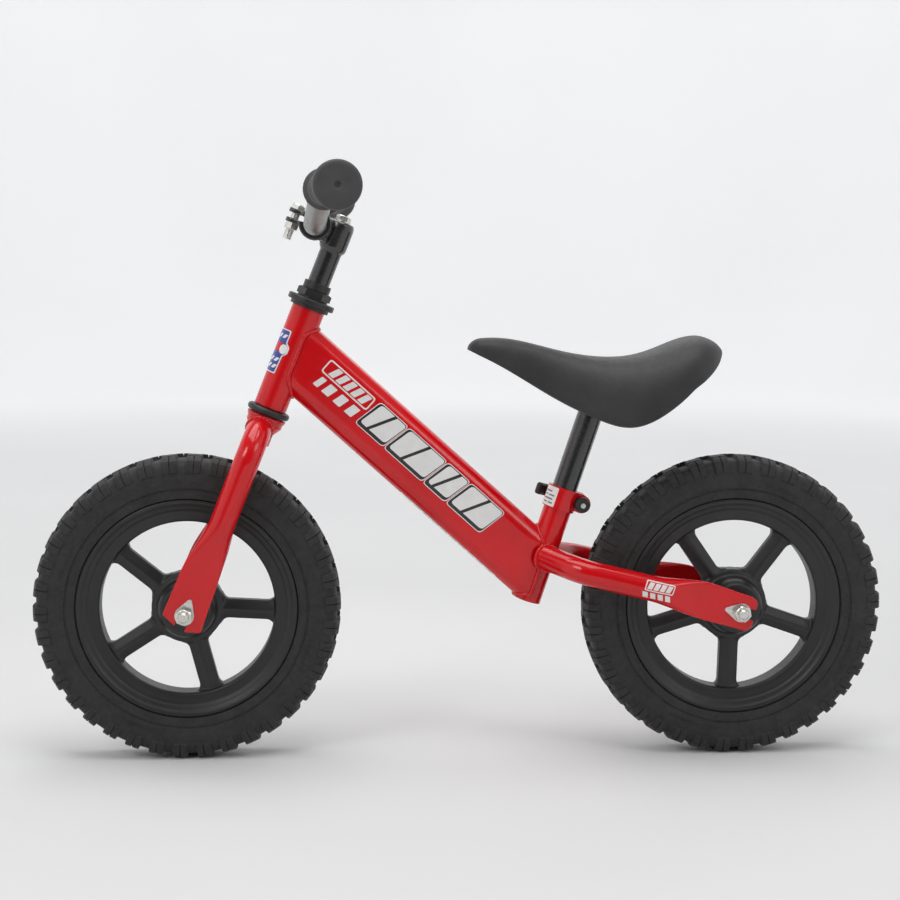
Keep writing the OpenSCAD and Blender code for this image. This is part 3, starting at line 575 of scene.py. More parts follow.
def tube_rings(tube):
    """The rings of a bent tube whose end is squeezed flat."""
    along, side, out, level, bend_r = (tube[key] for key in ("along", "side", "out", "level", "bend_r"))
    start, stop = tube["flat"]
    rings = []
    for t in np.linspace(0, 1, FLAT_STEPS):
        thick, e = flattening(t)
        centre = (side * (level + tube["slip"] * (1 - e)) + LEFT * (PLATE_MID + (out - PLATE_MID) * e)
                  + along * (start + (stop - start) * t))
        rings.append(flat_ring(centre, side, LEFT, squeezed(thick), thick))
    for f in np.radians(np.linspace(0, tube["bend"], BEND_STEPS)):
        outward = LEFT * math.cos(f) + along * math.sin(f)
        centre = (side * level + LEFT * (out - bend_r * (1 - math.cos(f)))
                  + along * (tube["bend_at"] + bend_r * math.sin(f)))
        rings.append(flat_ring(centre, side, outward, TUBE_R, TUBE_R))
    onward = along * math.cos(f) - LEFT * math.sin(f)
    rings += [flat_ring(centre + onward * run, side, outward, TUBE_R, TUBE_R)
              for run in np.linspace(2, tube["run"], tube["run_steps"])]
    return np.array(rings)


def arc_points(centre, radius, start, stop, steps=10):
    """Points on an arc, its start and stop in degrees."""
    return [(centre[0] + radius * math.cos(a), centre[1] + radius * math.sin(a))
            for a in np.radians(np.linspace(start, stop, steps))]


SLOT_R = 5.3
# Dropout plates seen from the side: forward, then up
STAY_PLATE = [(40, 21.9), (-7, 17.6), (-12, 15.4), (-14.5, 12), (-14.5, SLOT_R),
              *arc_points((0, 0), SLOT_R, 90, -90), (-14.5, -SLOT_R), (-14, -11.6),
              (-11.6, -15.6), (-8, -17.2), (40, -15.9)]
FORK_PLATE = [(22.9, 44), (24.2, -5), (23.4, -7), (9.3, -13), (9.3, 0), *arc_points((4, 0), SLOT_R, 0, 180),
              (-1.3, 0), (-1.3, -15.4), (-15, -11.6), (-16.8, -9.6), (-14.8, 44)]


def plate(outline):
    """A dropout plate of an outline in X and Z."""
    inner = [AHEAD * a + UP * b + LEFT * (PLATE_MID - PLATE_T / 2) for a, b in outline]
    outer = [p + LEFT * PLATE_T for p in inner]
    return skin([inner, outer])


for side_name, side in SIDES:
    for name, place, tube, outline, body in (("chainstay", stays, STAY, STAY_PLATE, "frame"),
                                             ("fork_leg", steer, FORK, FORK_PLATE, "fork")):
        parts = [mirrored(part, (1, side, 1)) for part in (skin(tube_rings(tube)), plate(outline))]
        fused(f"{name}_{side_name}_tube", place, parts, RED, body, [f"{name}_{side_name}"],
              tube_grain)


# ---- main tube
MAIN_H, MAIN_W = 67, 31
HEAD_R, SEAT_R = 16.5, 14.3
MAIN_FLAT = (MAIN_H - MAIN_W) / 2       # half length of its flat sides


def oval(turn, grow=0.0):
    """A point of the main tube's section. turn runs from 0, the middle of its left side, round to 1."""
    r = MAIN_W / 2 + grow
    lap = 4 * MAIN_FLAT + 2 * math.pi * r
    s = (turn % 1) * lap
    if s <= MAIN_FLAT:
        return s, r
    s -= MAIN_FLAT
    if s <= math.pi * r:
        return MAIN_FLAT + r * math.sin(s / r), r * math.cos(s / r)
    s -= math.pi * r
    if s <= 2 * MAIN_FLAT:
        return MAIN_FLAT - s, -r
    s -= 2 * MAIN_FLAT
    if s <= math.pi * r:
        return -MAIN_FLAT - r * math.sin(s / r), -r * math.cos(s / r)
    return s - math.pi * r - MAIN_FLAT, r


def main_stops(u, v):
    """Where the line through a section's point meets the seat tube and the head tube, along the main tube."""
    at, way = main.world([u, v, 0]), main.z / MM
    p, d = seat.local(at), (way @ seat.axes.T) * MM
    low = (math.sqrt(max(SEAT_R ** 2 - v ** 2, 0)) - p[0]) / d[0]
    p, d = steer.local(at), (way @ steer.axes.T) * MM
    a, b, c = d[0] ** 2 + d[1] ** 2, p[0] * d[0] + p[1] * d[1], p[0] ** 2 + p[1] ** 2 - HEAD_R ** 2
    high = (-b - math.sqrt(b * b - a * c)) / a
    return low, high


MAIN_SIDES = 96
main_section = [oval(i / MAIN_SIDES) for i in range(MAIN_SIDES)]
main_outline = [(u, v, *main_stops(u, v)) for u, v in main_section]
# each end closes this far inside the tube that it meets, and narrower
PLUG, PLUG_SHRINK = 8, 0.7
main_rows = [[(PLUG_SHRINK * u, PLUG_SHRINK * v, low - PLUG) for u, v, low, high in main_outline]]
main_rows += [[(u, v, low + (high - low) * t) for u, v, low, high in main_outline]
              for t in np.linspace(0, 1, 14)]
main_rows += [[(PLUG_SHRINK * u, PLUG_SHRINK * v, high + PLUG) for u, v, low, high in main_outline]]
piece("main_tube_skin", main, skin(main_rows), RED, "frame", "red_paint", ["main_tube"], sharp=50)


# ---- weld beads
def cylinder_depth(place, radius):
    """How far world points lie outside a cylinder about a place's Z, in mm."""
    return lambda points: np.linalg.norm(place.local(points)[..., :2], axis=-1) - radius


def main_depth(points):
    """How far world points lie outside the main tube, in mm."""
    p = main.local(points)
    beyond = np.maximum(np.abs(p[..., 0]) - MAIN_FLAT, 0)
    return np.hypot(beyond, p[..., 1]) - MAIN_W / 2


def first_inside(rings, depth):
    """Where each line along a row of rings first enters a shape."""
    values = depth(rings)
    curve = []
    for j in range(rings.shape[1]):
        inside = np.nonzero(values[:, j] < 0)[0]
        i = inside[0] if len(inside) else len(rings) - 1
        a, b = values[i - 1, j], values[i, j]
        t = a / (a - b) if len(inside) and i else 1
        curve.append(rings[i - 1, j] * (1 - t) + rings[i, j] * t)
    return np.array(curve)


def even_loop(curve, step):
    """A closed curve resampled so that its points are about a step apart, and smoothed a little."""
    closed = np.vstack((curve, curve[:1]))
    lengths = np.concatenate(([0], np.cumsum(np.linalg.norm(np.diff(closed, axis=0), axis=1))))
    count = max(12, int(lengths[-1] / step))
    at = np.linspace(0, lengths[-1], count, endpoint=False)
    path = np.array([np.interp(at, lengths, closed[:, k]) for k in range(3)]).T
    for _ in range(2):
        path = (np.roll(path, 1, axis=0) + 2 * path + np.roll(path, -1, axis=0)) / 4
    return path, lengths[-1]


def weld(name, curve, body, radius, pitch=3.1):
    """A bead of small overlapping scales along a closed curve, given in metres."""
    path, lap = even_loop(curve, 0.55 * MM)
    along = np.arange(len(path)) * lap / len(path) / MM
    scales = round(lap / MM / pitch)
    phase = along * scales / (lap / MM)
    radii = radius * (0.82 + 0.26 * (1 - phase % 1) ** 0.7 + 0.05 * np.sin(along * 0.31))
    points, faces = sweep(path, radii * MM, 12, loop=True)
    finish_piece(name, mesh_of(name, points, faces), RED, body, sharp=60)


def stay_joint(points):
    """How far world points lie outside the main tube and the seat tube together, in mm."""
    return np.minimum(main_depth(points), cylinder_depth(seat, SEAT_R)(points))


CROWN_R = 12.9
weld("weld_head_tube", main.world([(u, v, high) for u, v, low, high in main_outline]), "frame", 2.3)
weld("weld_seat_tube", main.world([(u, v, low) for u, v, low, high in main_outline]), "frame", 2.1)
for side_name, side in SIDES:
    rings = stays.world(tube_rings(STAY) * (1, side, 1))
    weld(f"weld_chainstay_{side_name}", first_inside(rings[FLAT_STEPS:], stay_joint), "frame", 2.0)
    rings = steer.world(tube_rings(FORK) * (1, side, 1))
    fork_curve = first_inside(rings[FLAT_STEPS:], cylinder_depth(steer, CROWN_R))
    weld(f"weld_fork_{side_name}", fork_curve, "fork", 1.8)


# ---- stem and handlebar
CLAMP_X, CLAMP_Z, CLAMP_R, CLAMP_HALF, EAR_X, BAR_R = 24, 399.5, 16, 20, 45, 11.1


def clamp_ring():
    """The split ring round the handlebar, with its slot to the front."""
    rings = []
    for a in np.radians(np.linspace(11, 349, 60)):
        out, inner = CLAMP_R, BAR_R + 0.1
        section = [(inner, -CLAMP_HALF), (out - 1, -CLAMP_HALF), (out, -CLAMP_HALF + 1),
                   (out, CLAMP_HALF - 1), (out - 1, CLAMP_HALF), (inner, CLAMP_HALF)]
        rings.append([(CLAMP_X + r * math.cos(a), y, CLAMP_Z + r * math.sin(a)) for r, y in section])
    return skin(rings)


EAR_GAP, EAR_REACH = 2.6, 7             # an ear's two faces, from the clamp's middle


def ear(z0, z1):
    """One of the two ears that the clamp bolt draws together."""
    outline = [(CLAMP_X + 12, -10.5), (EAR_X, -8), *arc_points((EAR_X, 0), 7.8, -80, 80, 16), (EAR_X, 8),
               (CLAMP_X + 12, 10.5)]
    return prism(outline, z0, z1)


STEM_POST = [(8.2, 262), (BAR_R, 262), (BAR_R, 380), (13.0, 382.5), (13.9, 385), (13.9, 405), (13.2, 409.4),
             (11.6, 411.5), (4.4, 411.5), (4.4, 400), (8.2, 398)]
stem_parts = [revolve(STEM_POST, 72), clamp_ring(), box((9, -12.2, 388), (13.5, 12.2, 409)),
              box((5, -11.5, 387), (12, 11.5, 410)), ear(CLAMP_Z + EAR_GAP, CLAMP_Z + EAR_REACH),
              ear(CLAMP_Z - EAR_REACH, CLAMP_Z - EAR_GAP)]
fused("stem_forging", steer, stem_parts, BLACK, "stem", ["stem"], tube_grain * 0.8, 5)

BAR_FLAT_Y, BAR_BEND_Y, BAR_HALF = 31, 82, 213.5
BAR_BACK, BAR_RISE, BAR_SWEEP, GRIP_LEN = 6.5, 30.5, math.radians(6.4), 114
GRIP_Y = BAR_HALF - GRIP_LEN * math.cos(BAR_SWEEP)


def bar_point(y):
    """The handlebar's axis at y: level in the clamp, then back and up, then swept back in the grips."""
    t = float(ease((abs(y) - BAR_FLAT_Y) / (BAR_BEND_Y - BAR_FLAT_Y)))
    return (-BAR_BACK * t - max(0, abs(y) - BAR_BEND_Y) * math.tan(BAR_SWEEP), y, BAR_RISE * t)


bar_reach = BAR_HALF - 6
bar_path = [bar_point(y) for y in np.linspace(-bar_reach, bar_reach, 140)]
piece("handlebar_tube", bar, sweep(bar_path, BAR_R, 48), SATIN, "handlebar", "bar_satin", ["handlebar"],
      sharp=60)


GRIP_RIBS = 18


def grip_section():
    """Half section of a grip, as radius and distance from its inner flange."""
    section = [(BAR_R + 0.03, 0.2), (17.4, 0), (18.8, 0.4), (19.5, 1.3), (19.6, 2.6), (19.4, 3.8),
               (18.6, 4.8), (17.0, 6.0), (15.7, 8.0), (15.2, 11)]
    for rib in range(GRIP_RIBS):
        z = 14 + rib * 4.4
        swell = 15.15 + 0.35 * math.sin(math.pi * rib / (GRIP_RIBS - 1))
        section += [(swell, z), (swell + 0.55, z + 0.5), (swell + 0.7, z + 1.6), (swell + 0.55, z + 2.7),
                    (swell, z + 3.2)]
    section += [(15.8, 94.5), (17.4, 97.5), (19.4, 100.4), (21.0, 102.7), (21.8, 105), (22, 107.5), (22, 110),
                (21.7, 111.8), (20.9, 113.1), (19.4, 113.8), (17, 114), (13, 113.7), (8, 113.5), (4.4, 113.5),
                (3.5, 113.3), (2.9, 112.7), (2.5, 111.4), (1.6, 110.9), (0.02, 110.8), (0.02, 109.5),
                (BAR_R + 0.03, 109.5)]
    return section


for side_name, side in SIDES:
    axis = (-math.sin(BAR_SWEEP), side * math.cos(BAR_SWEEP), 0)
    grip_place = Place(bar.world(bar_point(side * GRIP_Y)), AHEAD, axis)
    piece(f"grip_{side_name}_moulded", grip_place, revolve(grip_section()), GRIP, "handlebar", "grip_rubber",
          [f"grip_{side_name}"], sharp=50)


# ---- headset
RING_R, RING_Z, RING_HALF_W, RING_HALF_H = 18.7, 211.2, 2.9, 3.3
ring_section = [(RING_R + RING_HALF_W * math.cos(a), RING_Z + RING_HALF_H * math.sin(a))
                for a in np.linspace(0, 2 * math.pi, 20, endpoint=False)]
piece("headset_lower_ring", steer, revolve(ring_section), RUBBER, "frame", "headset_rubber",
      ["headset_lower_cup"], sharp=60)

# the lower race, painted with the fork
RACE_SECTION = [(12.75, 199), (18.0, 200), (18.4, 202), (19.2, 203.4), (19.8, 205.4), (19.8, 206.6),
                (19.2, 206.9), (12.75, 206.9)]
piece("fork_crown_race", steer, revolve(RACE_SECTION), RED, "fork", "bearing_steel", ["crown_race"], sharp=60)


# ---- saddle
SADDLE_NOSE, SADDLE_LEN, SADDLE_MID = -3, 254.5, 410
SADDLE_SKIN = 7
# Along the saddle, s runs from 0 at its nose to 1 at its tail. A hump is its height, place and reach.
SEAT_LEVEL, NOSE_HUMP, TAIL_HUMP = 401.1, (20.7, 0.1, 0.275), (23.8, 0.915, 0.19)
TAIL_FROM, TAIL_DROP = 0.91, 6.5
NOSE_EDGE, LOW_EDGE, LOW_AT = 409, 347, 0.52
WING_DEPTH, WING_LEN = 13.5, 0.34
EDGE_HUMPS = ((9.5, 0.38, 0.24), (-3, 0.72, 0.1), (3.5, 0.92, 0.09))
NOSE_HALF_W, WING_HALF_W, WIDEST_AT = 20, 45, 0.74
SIDE_POWER, RISE_POWER = 0.75, 0.62     # how square the shell's section is
EDGE_LIP = 0.15                         # rise of the hollow's edge over the shell's, for each mm of skin


def hump(s, height, at, reach):
    return height * math.exp(-((s - at) / reach) ** 2)


def round_end(s, reach):
    """Grows like a quarter circle from 0 at s = 0 to 1 at reach."""
    t = min(max(s / reach, 0), 1)
    return math.sqrt(1 - (1 - t) ** 2)


def saddle_section(s):
    """The half width, top, lower edge and skin of the saddle's shell at s."""
    top = (SEAT_LEVEL + hump(s, *NOSE_HUMP) + hump(s, *TAIL_HUMP)
           - TAIL_DROP * max(0, (s - TAIL_FROM) / (1 - TAIL_FROM)) ** 1.3)
    if s < LOW_AT:
        edge = NOSE_EDGE - (NOSE_EDGE - LOW_EDGE) * (s / LOW_AT) ** 1.12
    else:
        t = (s - LOW_AT) / (1 - LOW_AT)
        wing = math.sin(math.pi * min(1, (s - LOW_AT) / WING_LEN))
        edge = LOW_EDGE + (NOSE_EDGE - LOW_EDGE) * t ** 2.1 - WING_DEPTH * wing
    edge -= sum(hump(s, *shape) for shape in EDGE_HUMPS)
    half = NOSE_HALF_W + WING_HALF_W * math.sin(math.pi / 2 * min(1, s / WIDEST_AT)) ** 3.4
    half *= round_end(s, 0.07) * round_end(1 - s, 0.2) ** 0.9
    ends = round_end(s, 0.05) * round_end(1 - s, 0.04)
    top = SADDLE_MID + (top - SADDLE_MID) * ends
    edge = SADDLE_MID + (edge - SADDLE_MID) * ends
    return half, top, edge, min(SADDLE_SKIN, 0.4 * half, 0.4 * (top - edge))


def saddle_rib(s, sides=40):
    """A closed U-shaped ring round the shell's section."""
    half, top, edge, skin_t = saddle_section(s)
    x = SADDLE_NOSE - SADDLE_LEN * s
    turns = np.pi * np.arange(sides + 1) / sides
    rib = []
    for inset, order in ((0, turns), (skin_t, turns[::-1])):
        w, high, low = half - inset, top - inset, edge + EDGE_LIP * inset
        for a in order:
            c, q = math.cos(a), math.sin(a)
            y = w * math.copysign(abs(c) ** SIDE_POWER, c)
            rib.append((x, y, low + (high - low) * abs(q) ** RISE_POWER))
    return rib


SADDLE_STEPS = 72
saddle_stations = [0.5 - 0.5 * math.cos(math.pi * k / SADDLE_STEPS) for k in range(1, SADDLE_STEPS)]
saddle_skin = skin([saddle_rib(s) for s in saddle_stations])
saddle_piece = piece("saddle_shell", Place((0, 0, 0), AHEAD, UP), saddle_skin, SADDLE, "seat", "saddle_foam",
                     ["saddle"], sharp=80, subdivide=1)

TRAY_Z0, TRAY_Z1 = 211, 215             # the tray's faces in the seat post's frame
TRAY_CLEAR, TRAY_RISE = 0.4, 2          # its gap to the shell, and its height above the hollow's edge
TRAY_STEP, TRAY_LEAST = 1.5, 5          # step along it, and the half width where it ends


def tray_half(x):
    """Half the width that the shell's hollow leaves for the tray at x."""
    widths = []
    for z in (TRAY_Z0, TRAY_Z1):
        at = seat.world([x, 0, z]) / MM
        half, top, edge, skin_t = saddle_section((SADDLE_NOSE - at[0]) / SADDLE_LEN)
        low, high = edge + EDGE_LIP * skin_t + TRAY_RISE, top - skin_t
        level = (at[2] - low) / (high - low)
        inside = 0 < level < 1
        widths.append((half - skin_t) * (1 - level ** (2 / RISE_POWER)) ** (SIDE_POWER / 2) if inside else 0)
    return min(widths) - TRAY_CLEAR


tray_side = [(x, tray_half(x)) for x in np.arange(-70, 60, TRAY_STEP) if tray_half(x) > TRAY_LEAST]
piece("saddle_tray", seat, prism(tray_side[::-1] + [(x, -y) for x, y in tray_side], TRAY_Z0, TRAY_Z1),
      PLASTIC, "seat", "black_plastic", ["saddle_base"], bevel=0.5)


# ---- printed marks
def on_main_tube(side):
    """Finds points on one side of the main tube: along it, and across it from the middle of its flat."""
    def spot(along, across, lift):
        lap = 4 * MAIN_FLAT + 2 * math.pi * (MAIN_W / 2 + lift)
        u, v = oval(across / lap, lift)
        return main.world([u, side * v, along])
    return spot


def on_tube(place, radius):
    """Finds points on a round tube: a distance round it from its X axis, and a height."""
    def spot(around, z, lift):
        a = around / radius
        return place.world([(radius + lift) * math.cos(a), (radius + lift) * math.sin(a), z])
    return spot


def on_chainstay(side):
    """Finds points on the outer side of a chainstay's flattened end: along it, and up it."""
    start, stop = STAY["flat"]

    def spot(x, z, lift):
        thick, e = flattening((x - start) / (stop - start))
        beyond = max(abs(z - STAY["level"]) - (squeezed(thick) - thick), 0)
        y = PLATE_MID + (STAY["out"] - PLATE_MID) * e + math.sqrt(max((thick + lift) ** 2 - beyond ** 2, 0))
        return stays.world([x, side * y, z])
    return spot


def rounded(corners, radius, steps=4):
    """An outline with each of its corners rounded."""
    corners = np.array(corners, float)
    outline = []
    for i, tip in enumerate(corners):
        before, after = corners[i - 1], corners[(i + 1) % len(corners)]
        start = tip + (before - tip) * min(0.5, radius / np.linalg.norm(before - tip))
        stop = tip + (after - tip) * min(0.5, radius / np.linalg.norm(after - tip))
        for t in np.linspace(0, 1, steps):
            outline.append(start * (1 - t) ** 2 + tip * 2 * t * (1 - t) + stop * t * t)
    return outline


def leaning(a0, a1, b0, b1, lean, radius=0.0):
    """A parallelogram from a0 to a1 along and b0 to b1 across, whose b1 side is shifted by lean."""
    corners = [(a0, b0), (a1, b0), (a1 + lean, b1), (a0 + lean, b1)]
    return rounded(corners, radius) if radius else corners


MARK_STEP = 2.4         # longest edge of a printed patch, so that it follows a curved tube


def mark(name, outlines, spot, finish, body, lift):
    """Thin printed patches laid on a surface."""
    work = bmesh.new()
    for outline in outlines:
        work.faces.new([work.verts.new((a, b, 1)) for a, b in outline])
    for _ in range(9):
        bmesh.ops.triangulate(work, faces=work.faces[:])
        long = [edge for edge in work.edges if edge.calc_length() > MARK_STEP]
        if not long:
            break
        bmesh.ops.subdivide_edges(work, edges=long, cuts=1)
    bmesh.ops.triangulate(work, faces=work.faces[:])
    back = bmesh.ops.extrude_face_region(work, geom=work.faces[:])["geom"]
    for vert in [item for item in back if isinstance(item, bmesh.types.BMVert)]:
        vert.co.z = 0
    for vert in work.verts:
        vert.co = Vector(spot(vert.co.x, vert.co.y, lift if vert.co.z > 0.5 else -0.2))
    bmesh.ops.recalc_face_normals(work, faces=work.faces)
    mesh = bpy.data.meshes.new(name)
    work.to_mesh(mesh)
    work.free()
    finish_piece(name, mesh, finish, body, sharp=60)


# The marks' places are millimetres along and across the surface that each is printed on.
FILM = 0.1              # thickness of one printed film
BLOCKS = ((155, 121), (117, 69), (65, 38), (34, -9))    # front and rear ends of the large blocks
for side_name, side in SIDES:
    spot = on_main_tube(side)
    name = f"mark_tube_{side_name}"
    mark(f"{name}_frame", [leaning(158.8, 218.3, -21, -5.2, 0, 3.2)], spot, WHITE, "frame", FILM)
    mark(f"{name}_field", [leaning(160.3, 216.8, -19.5, -6.7, 0, 2.2)], spot, RED, "frame", 2 * FILM)
    bars = [leaning(a, a + 6.4, -18.6, -7.6, 4.5, 0.8) for a in (162, 171.5, 181, 190.5, 200)]
    bars += [leaning(a, a + long, -2.2, 9.4, 3, 0.9) for a, long in ((163, 9), (178, 9), (193, 9), (207, 6))]
    mark(f"{name}_bars", bars, spot, WHITE, "frame", 3 * FILM)
    edge, ink, top, cuts = [], [], [], []
    for front, rear in BLOCKS:
        edge.append(leaning(rear - 4.6, front - 1.2, -22, 10.6, 6, 4))
        ink.append(leaning(rear - 3.8, front - 2, -21.2, 9.8, 6, 3.6))
        top.append(leaning(rear - 3, front - 4.4, -20.4, 6.4, 5.6, 3.4))
        middle = (front + rear) / 2 - 6
        cuts.append(leaning(middle - 1.7, middle + 1.7, -20.4, 6.4, 14))
    mark(f"{name}_edge", edge, spot, WHITE, "frame", FILM)
    mark(f"{name}_ink", ink, spot, INK, "frame", 2 * FILM)
    mark(f"{name}_top", top, spot, WHITE, "frame", 3 * FILM)
    mark(f"{name}_cuts", cuts, spot, INK, "frame", 4 * FILM)

    spot = on_chainstay(side)
    name = f"mark_stay_{side_name}"
    mark(f"{name}_frame", [leaning(73.5, 103.6, 1.6, 12, -1, 1.8)], spot, WHITE, "frame", FILM)
    mark(f"{name}_field", [leaning(74.6, 102.4, 2.7, 10.9, -1, 1.2)], spot, RED, "frame", 2 * FILM)
    bars = [leaning(a, a + 5, 3.4, 10.2, -2.4, 0.6) for a in (77.2, 83.6, 90, 96.4)]
    bars += [leaning(a, a + 5.4, -5.6, 0.2, 2, 0.6) for a in (74.2, 82, 89.8, 97.6)]
    mark(f"{name}_bars", bars, spot, WHITE, "frame", 3 * FILM)

# the badge on the head tube: a tall shield with a disc in its middle
head_spot = on_tube(steer, HEAD_R)
shield = [(-17.5, 249), (-18.6, 268), (-22.6, 271), (-22.6, 278), (-18.6, 281), (-18.6, 294)]
shield += [(-a, z) for a, z in reversed(shield)]
SHIELD_MID = 271.5
inner_shield = [(a * 0.93, SHIELD_MID + (z - SHIELD_MID) * 0.95) for a, z in shield]
mark("mark_head_edge", [rounded(shield, 1.5)], head_spot, WHITE, "frame", FILM)
mark("mark_head_field", [rounded(inner_shield, 1.5)], head_spot, BLUE, "frame", 2 * FILM)
mark("mark_head_band", [leaning(-16, 16, 271, 280, 0, 1.5)], head_spot, RED, "frame", 3 * FILM)
round_turns = np.linspace(0, 2 * math.pi, 24, endpoint=False)
discs = [[(at + 4.6 * math.cos(a), 274.5 + 4.9 * math.sin(a)) for a in round_turns] for at in (-17, 17)]
bars = [leaning(a, a + 4, z, z + 4, 3, 0.6) for a in (-13, -5, 3, 10) for z in (254, 261, 285)]
mark("mark_head_discs", discs + bars, head_spot, WHITE, "frame", 4 * FILM)

# a paper label on the front of the seat collar, with grey lines
collar_spot = on_tube(seat, 16.6)
mark("mark_collar_label", [leaning(1, 18.5, 99, 118.6, 0, 1)], collar_spot, WHITE, "frame", FILM)
lines = [leaning(a, a + w, z, z + 1.5, 0) for z, row in ((101.5, ((3, 6), (11, 5))), (105.3, ((3, 12),)),
                                                       (109.1, ((3, 4), (9, 7))), (112.9, ((3, 9),)))
         for a, w in row]
mark("mark_collar_lines", lines, collar_spot, GREY_INK, "frame", 2 * FILM)

# a long warning label under the main tube
under = on_main_tube(1)
lap_half = (4 * MAIN_FLAT + math.pi * MAIN_W) / 4
label = leaning(-52, 78, lap_half - 6.5, lap_half + 9.5, 0, 2)
mark("mark_under_label", [label], under, WHITE, "frame", FILM)
lines = [leaning(a, a + 9.5, lap_half + b, lap_half + b + 1.5, 0)
         for a in range(-46, 68, 12) for b in (-4, -0.6, 2.8, 6.2)]
mark("mark_under_lines", lines, under, GREY_INK, "frame", 2 * FILM)


# ---- CAD nodes that stay
def smooth_group():
    """Geometry nodes that join split vertices and shade smooth up to an angle."""
    group = bpy.data.node_groups.new("join_and_smooth", "GeometryNodeTree")
    group.interface.new_socket("Geometry", in_out="INPUT", socket_type="NodeSocketGeometry")
    group.interface.new_socket("Geometry", in_out="OUTPUT", socket_type="NodeSocketGeometry")
    make = group.nodes.new
    link = group.links.new
    source, sink = make("NodeGroupInput"), make("NodeGroupOutput")
    bare, merge = make("GeometryNodeRemoveAttribute"), make("GeometryNodeMergeByDistance")
    bare.inputs["Name"].default_value = "custom_normal"
    merge.inputs["Distance"].default_value = 0.002 * MM
    faces, edges = make("GeometryNodeSetShadeSmooth"), make("GeometryNodeSetShadeSmooth")
    edges.domain = "EDGE"
    angle, over = make("GeometryNodeInputMeshEdgeAngle"), make("FunctionNodeCompare")
    over.inputs["B"].default_value = math.radians(30)
    edges.inputs["Shade Smooth"].default_value = False
    link(source.outputs[0], bare.inputs["Geometry"])
    link(bare.outputs["Geometry"], merge.inputs["Geometry"])
    link(merge.outputs["Geometry"], faces.inputs["Geometry"])
    link(faces.outputs["Geometry"], edges.inputs["Geometry"])
    link(angle.outputs["Unsigned Angle"], over.inputs["A"])
    link(over.outputs["Result"], edges.inputs["Selection"])
    link(edges.outputs["Geometry"], sink.inputs[0])
    return group


SMOOTH = smooth_group()


def dress(finish, bevel, *names):
    """Gives CAD nodes a finish, smooth shading and softened edges."""
    for name in names:
        node = frame["nodes"][name]
        node.data.materials.clear()
        node.data.materials.append(finish)
        node.modifiers.new("smooth", "NODES").node_group = SMOOTH
        if bevel:
            add_bevel(node, bevel)


dress(RED, 0.5, "head_tube", "seat_tube", "fork_steerer")
dress(RED, 0.7, "seat_clamp")
dress(BLACK, 0.4, "seat_post", "saddle_plate")
dress(PLASTIC, 0.5, "headset_upper_cup", "headset_top_race", "headset_lock_nut", "headset_cap")
dress(PLASTIC, 0.6, "clamp_nut", "clamp_washer", "quick_release_lever")
dress(ZINC, 0.3, "clamp_skewer", "clamp_pivot_pin", "expander_bolt", "expander_wedge", "bar_clamp_bolt",
      "bar_clamp_nut", "saddle_bolts")
dress(BEARING, 0.0, "headset_upper_balls", "headset_lower_balls")
for end in ENDS:
    dress(ZINC, 0.35, f"{end}_axle", f"{end}_spacers", f"{end}_tab_washers", f"{end}_axle_nuts")
    dress(BEARING, 0.2, f"{end}_bearing_inners", f"{end}_bearing_outers")
    dress(BEARING, 0.0, f"{end}_bearing_balls")


def thread(name, place, radius, z0, z1, body, pitch=1.25, depth=0.35):
    """A screw thread: a ridge that climbs round a shaft along its Z axis."""
    turns = (z1 - z0) / pitch
    steps = int(turns * 28)
    r = radius - depth / 2
    path = [(r * math.cos(a), r * math.sin(a), z0 + (z1 - z0) * a / turns / (2 * math.pi))
            for a in np.linspace(0, turns * 2 * math.pi, steps)]
    piece(name, place, sweep(path, depth, 6), ZINC, body, "zinc_steel", sharp=60)


for end, body in (("front", "fork"), ("rear", "frame")):
    for side_name, side in SIDES:
        axle_place = Place(wheels[end].origin, AHEAD, LEFT * side)
        thread(f"{end}_axle_thread_{side_name}", axle_place, 4.9, 60.6, 63.6, body, pitch=1.0)
thread("bar_clamp_thread", steer.moved(EAR_X, 0, 0), 4.15, 376.5, 385.7, "stem")


# ---- stage, light and camera
def studio():
    """A pale floor that sweeps up into a wall far behind the bike."""
    reach, turn, height = 4.5, 1.5, 5.0
    profile = [(0.02, 0), (1, 0), (reach, 0)]
    profile += [(reach + turn * math.sin(a), turn * (1 - math.cos(a)))
                for a in np.radians(np.linspace(10, 90, 9))]
    profile.append((reach + turn, height))
    turns = np.linspace(0, 2 * math.pi, 72, endpoint=False)
    rings = [[(r * math.cos(a), r * math.sin(a), z) for a in turns] for r, z in profile]
    points, faces = skin(rings, caps=False)
    faces.append(tuple(range(len(turns))))
    mesh = mesh_of("studio_floor", points, faces)
    mesh.shade_smooth()
    mesh.materials.append(FLOOR)
    floor = bpy.data.objects.new("studio_floor", mesh)
    bpy.context.scene.collection.objects.link(floor)


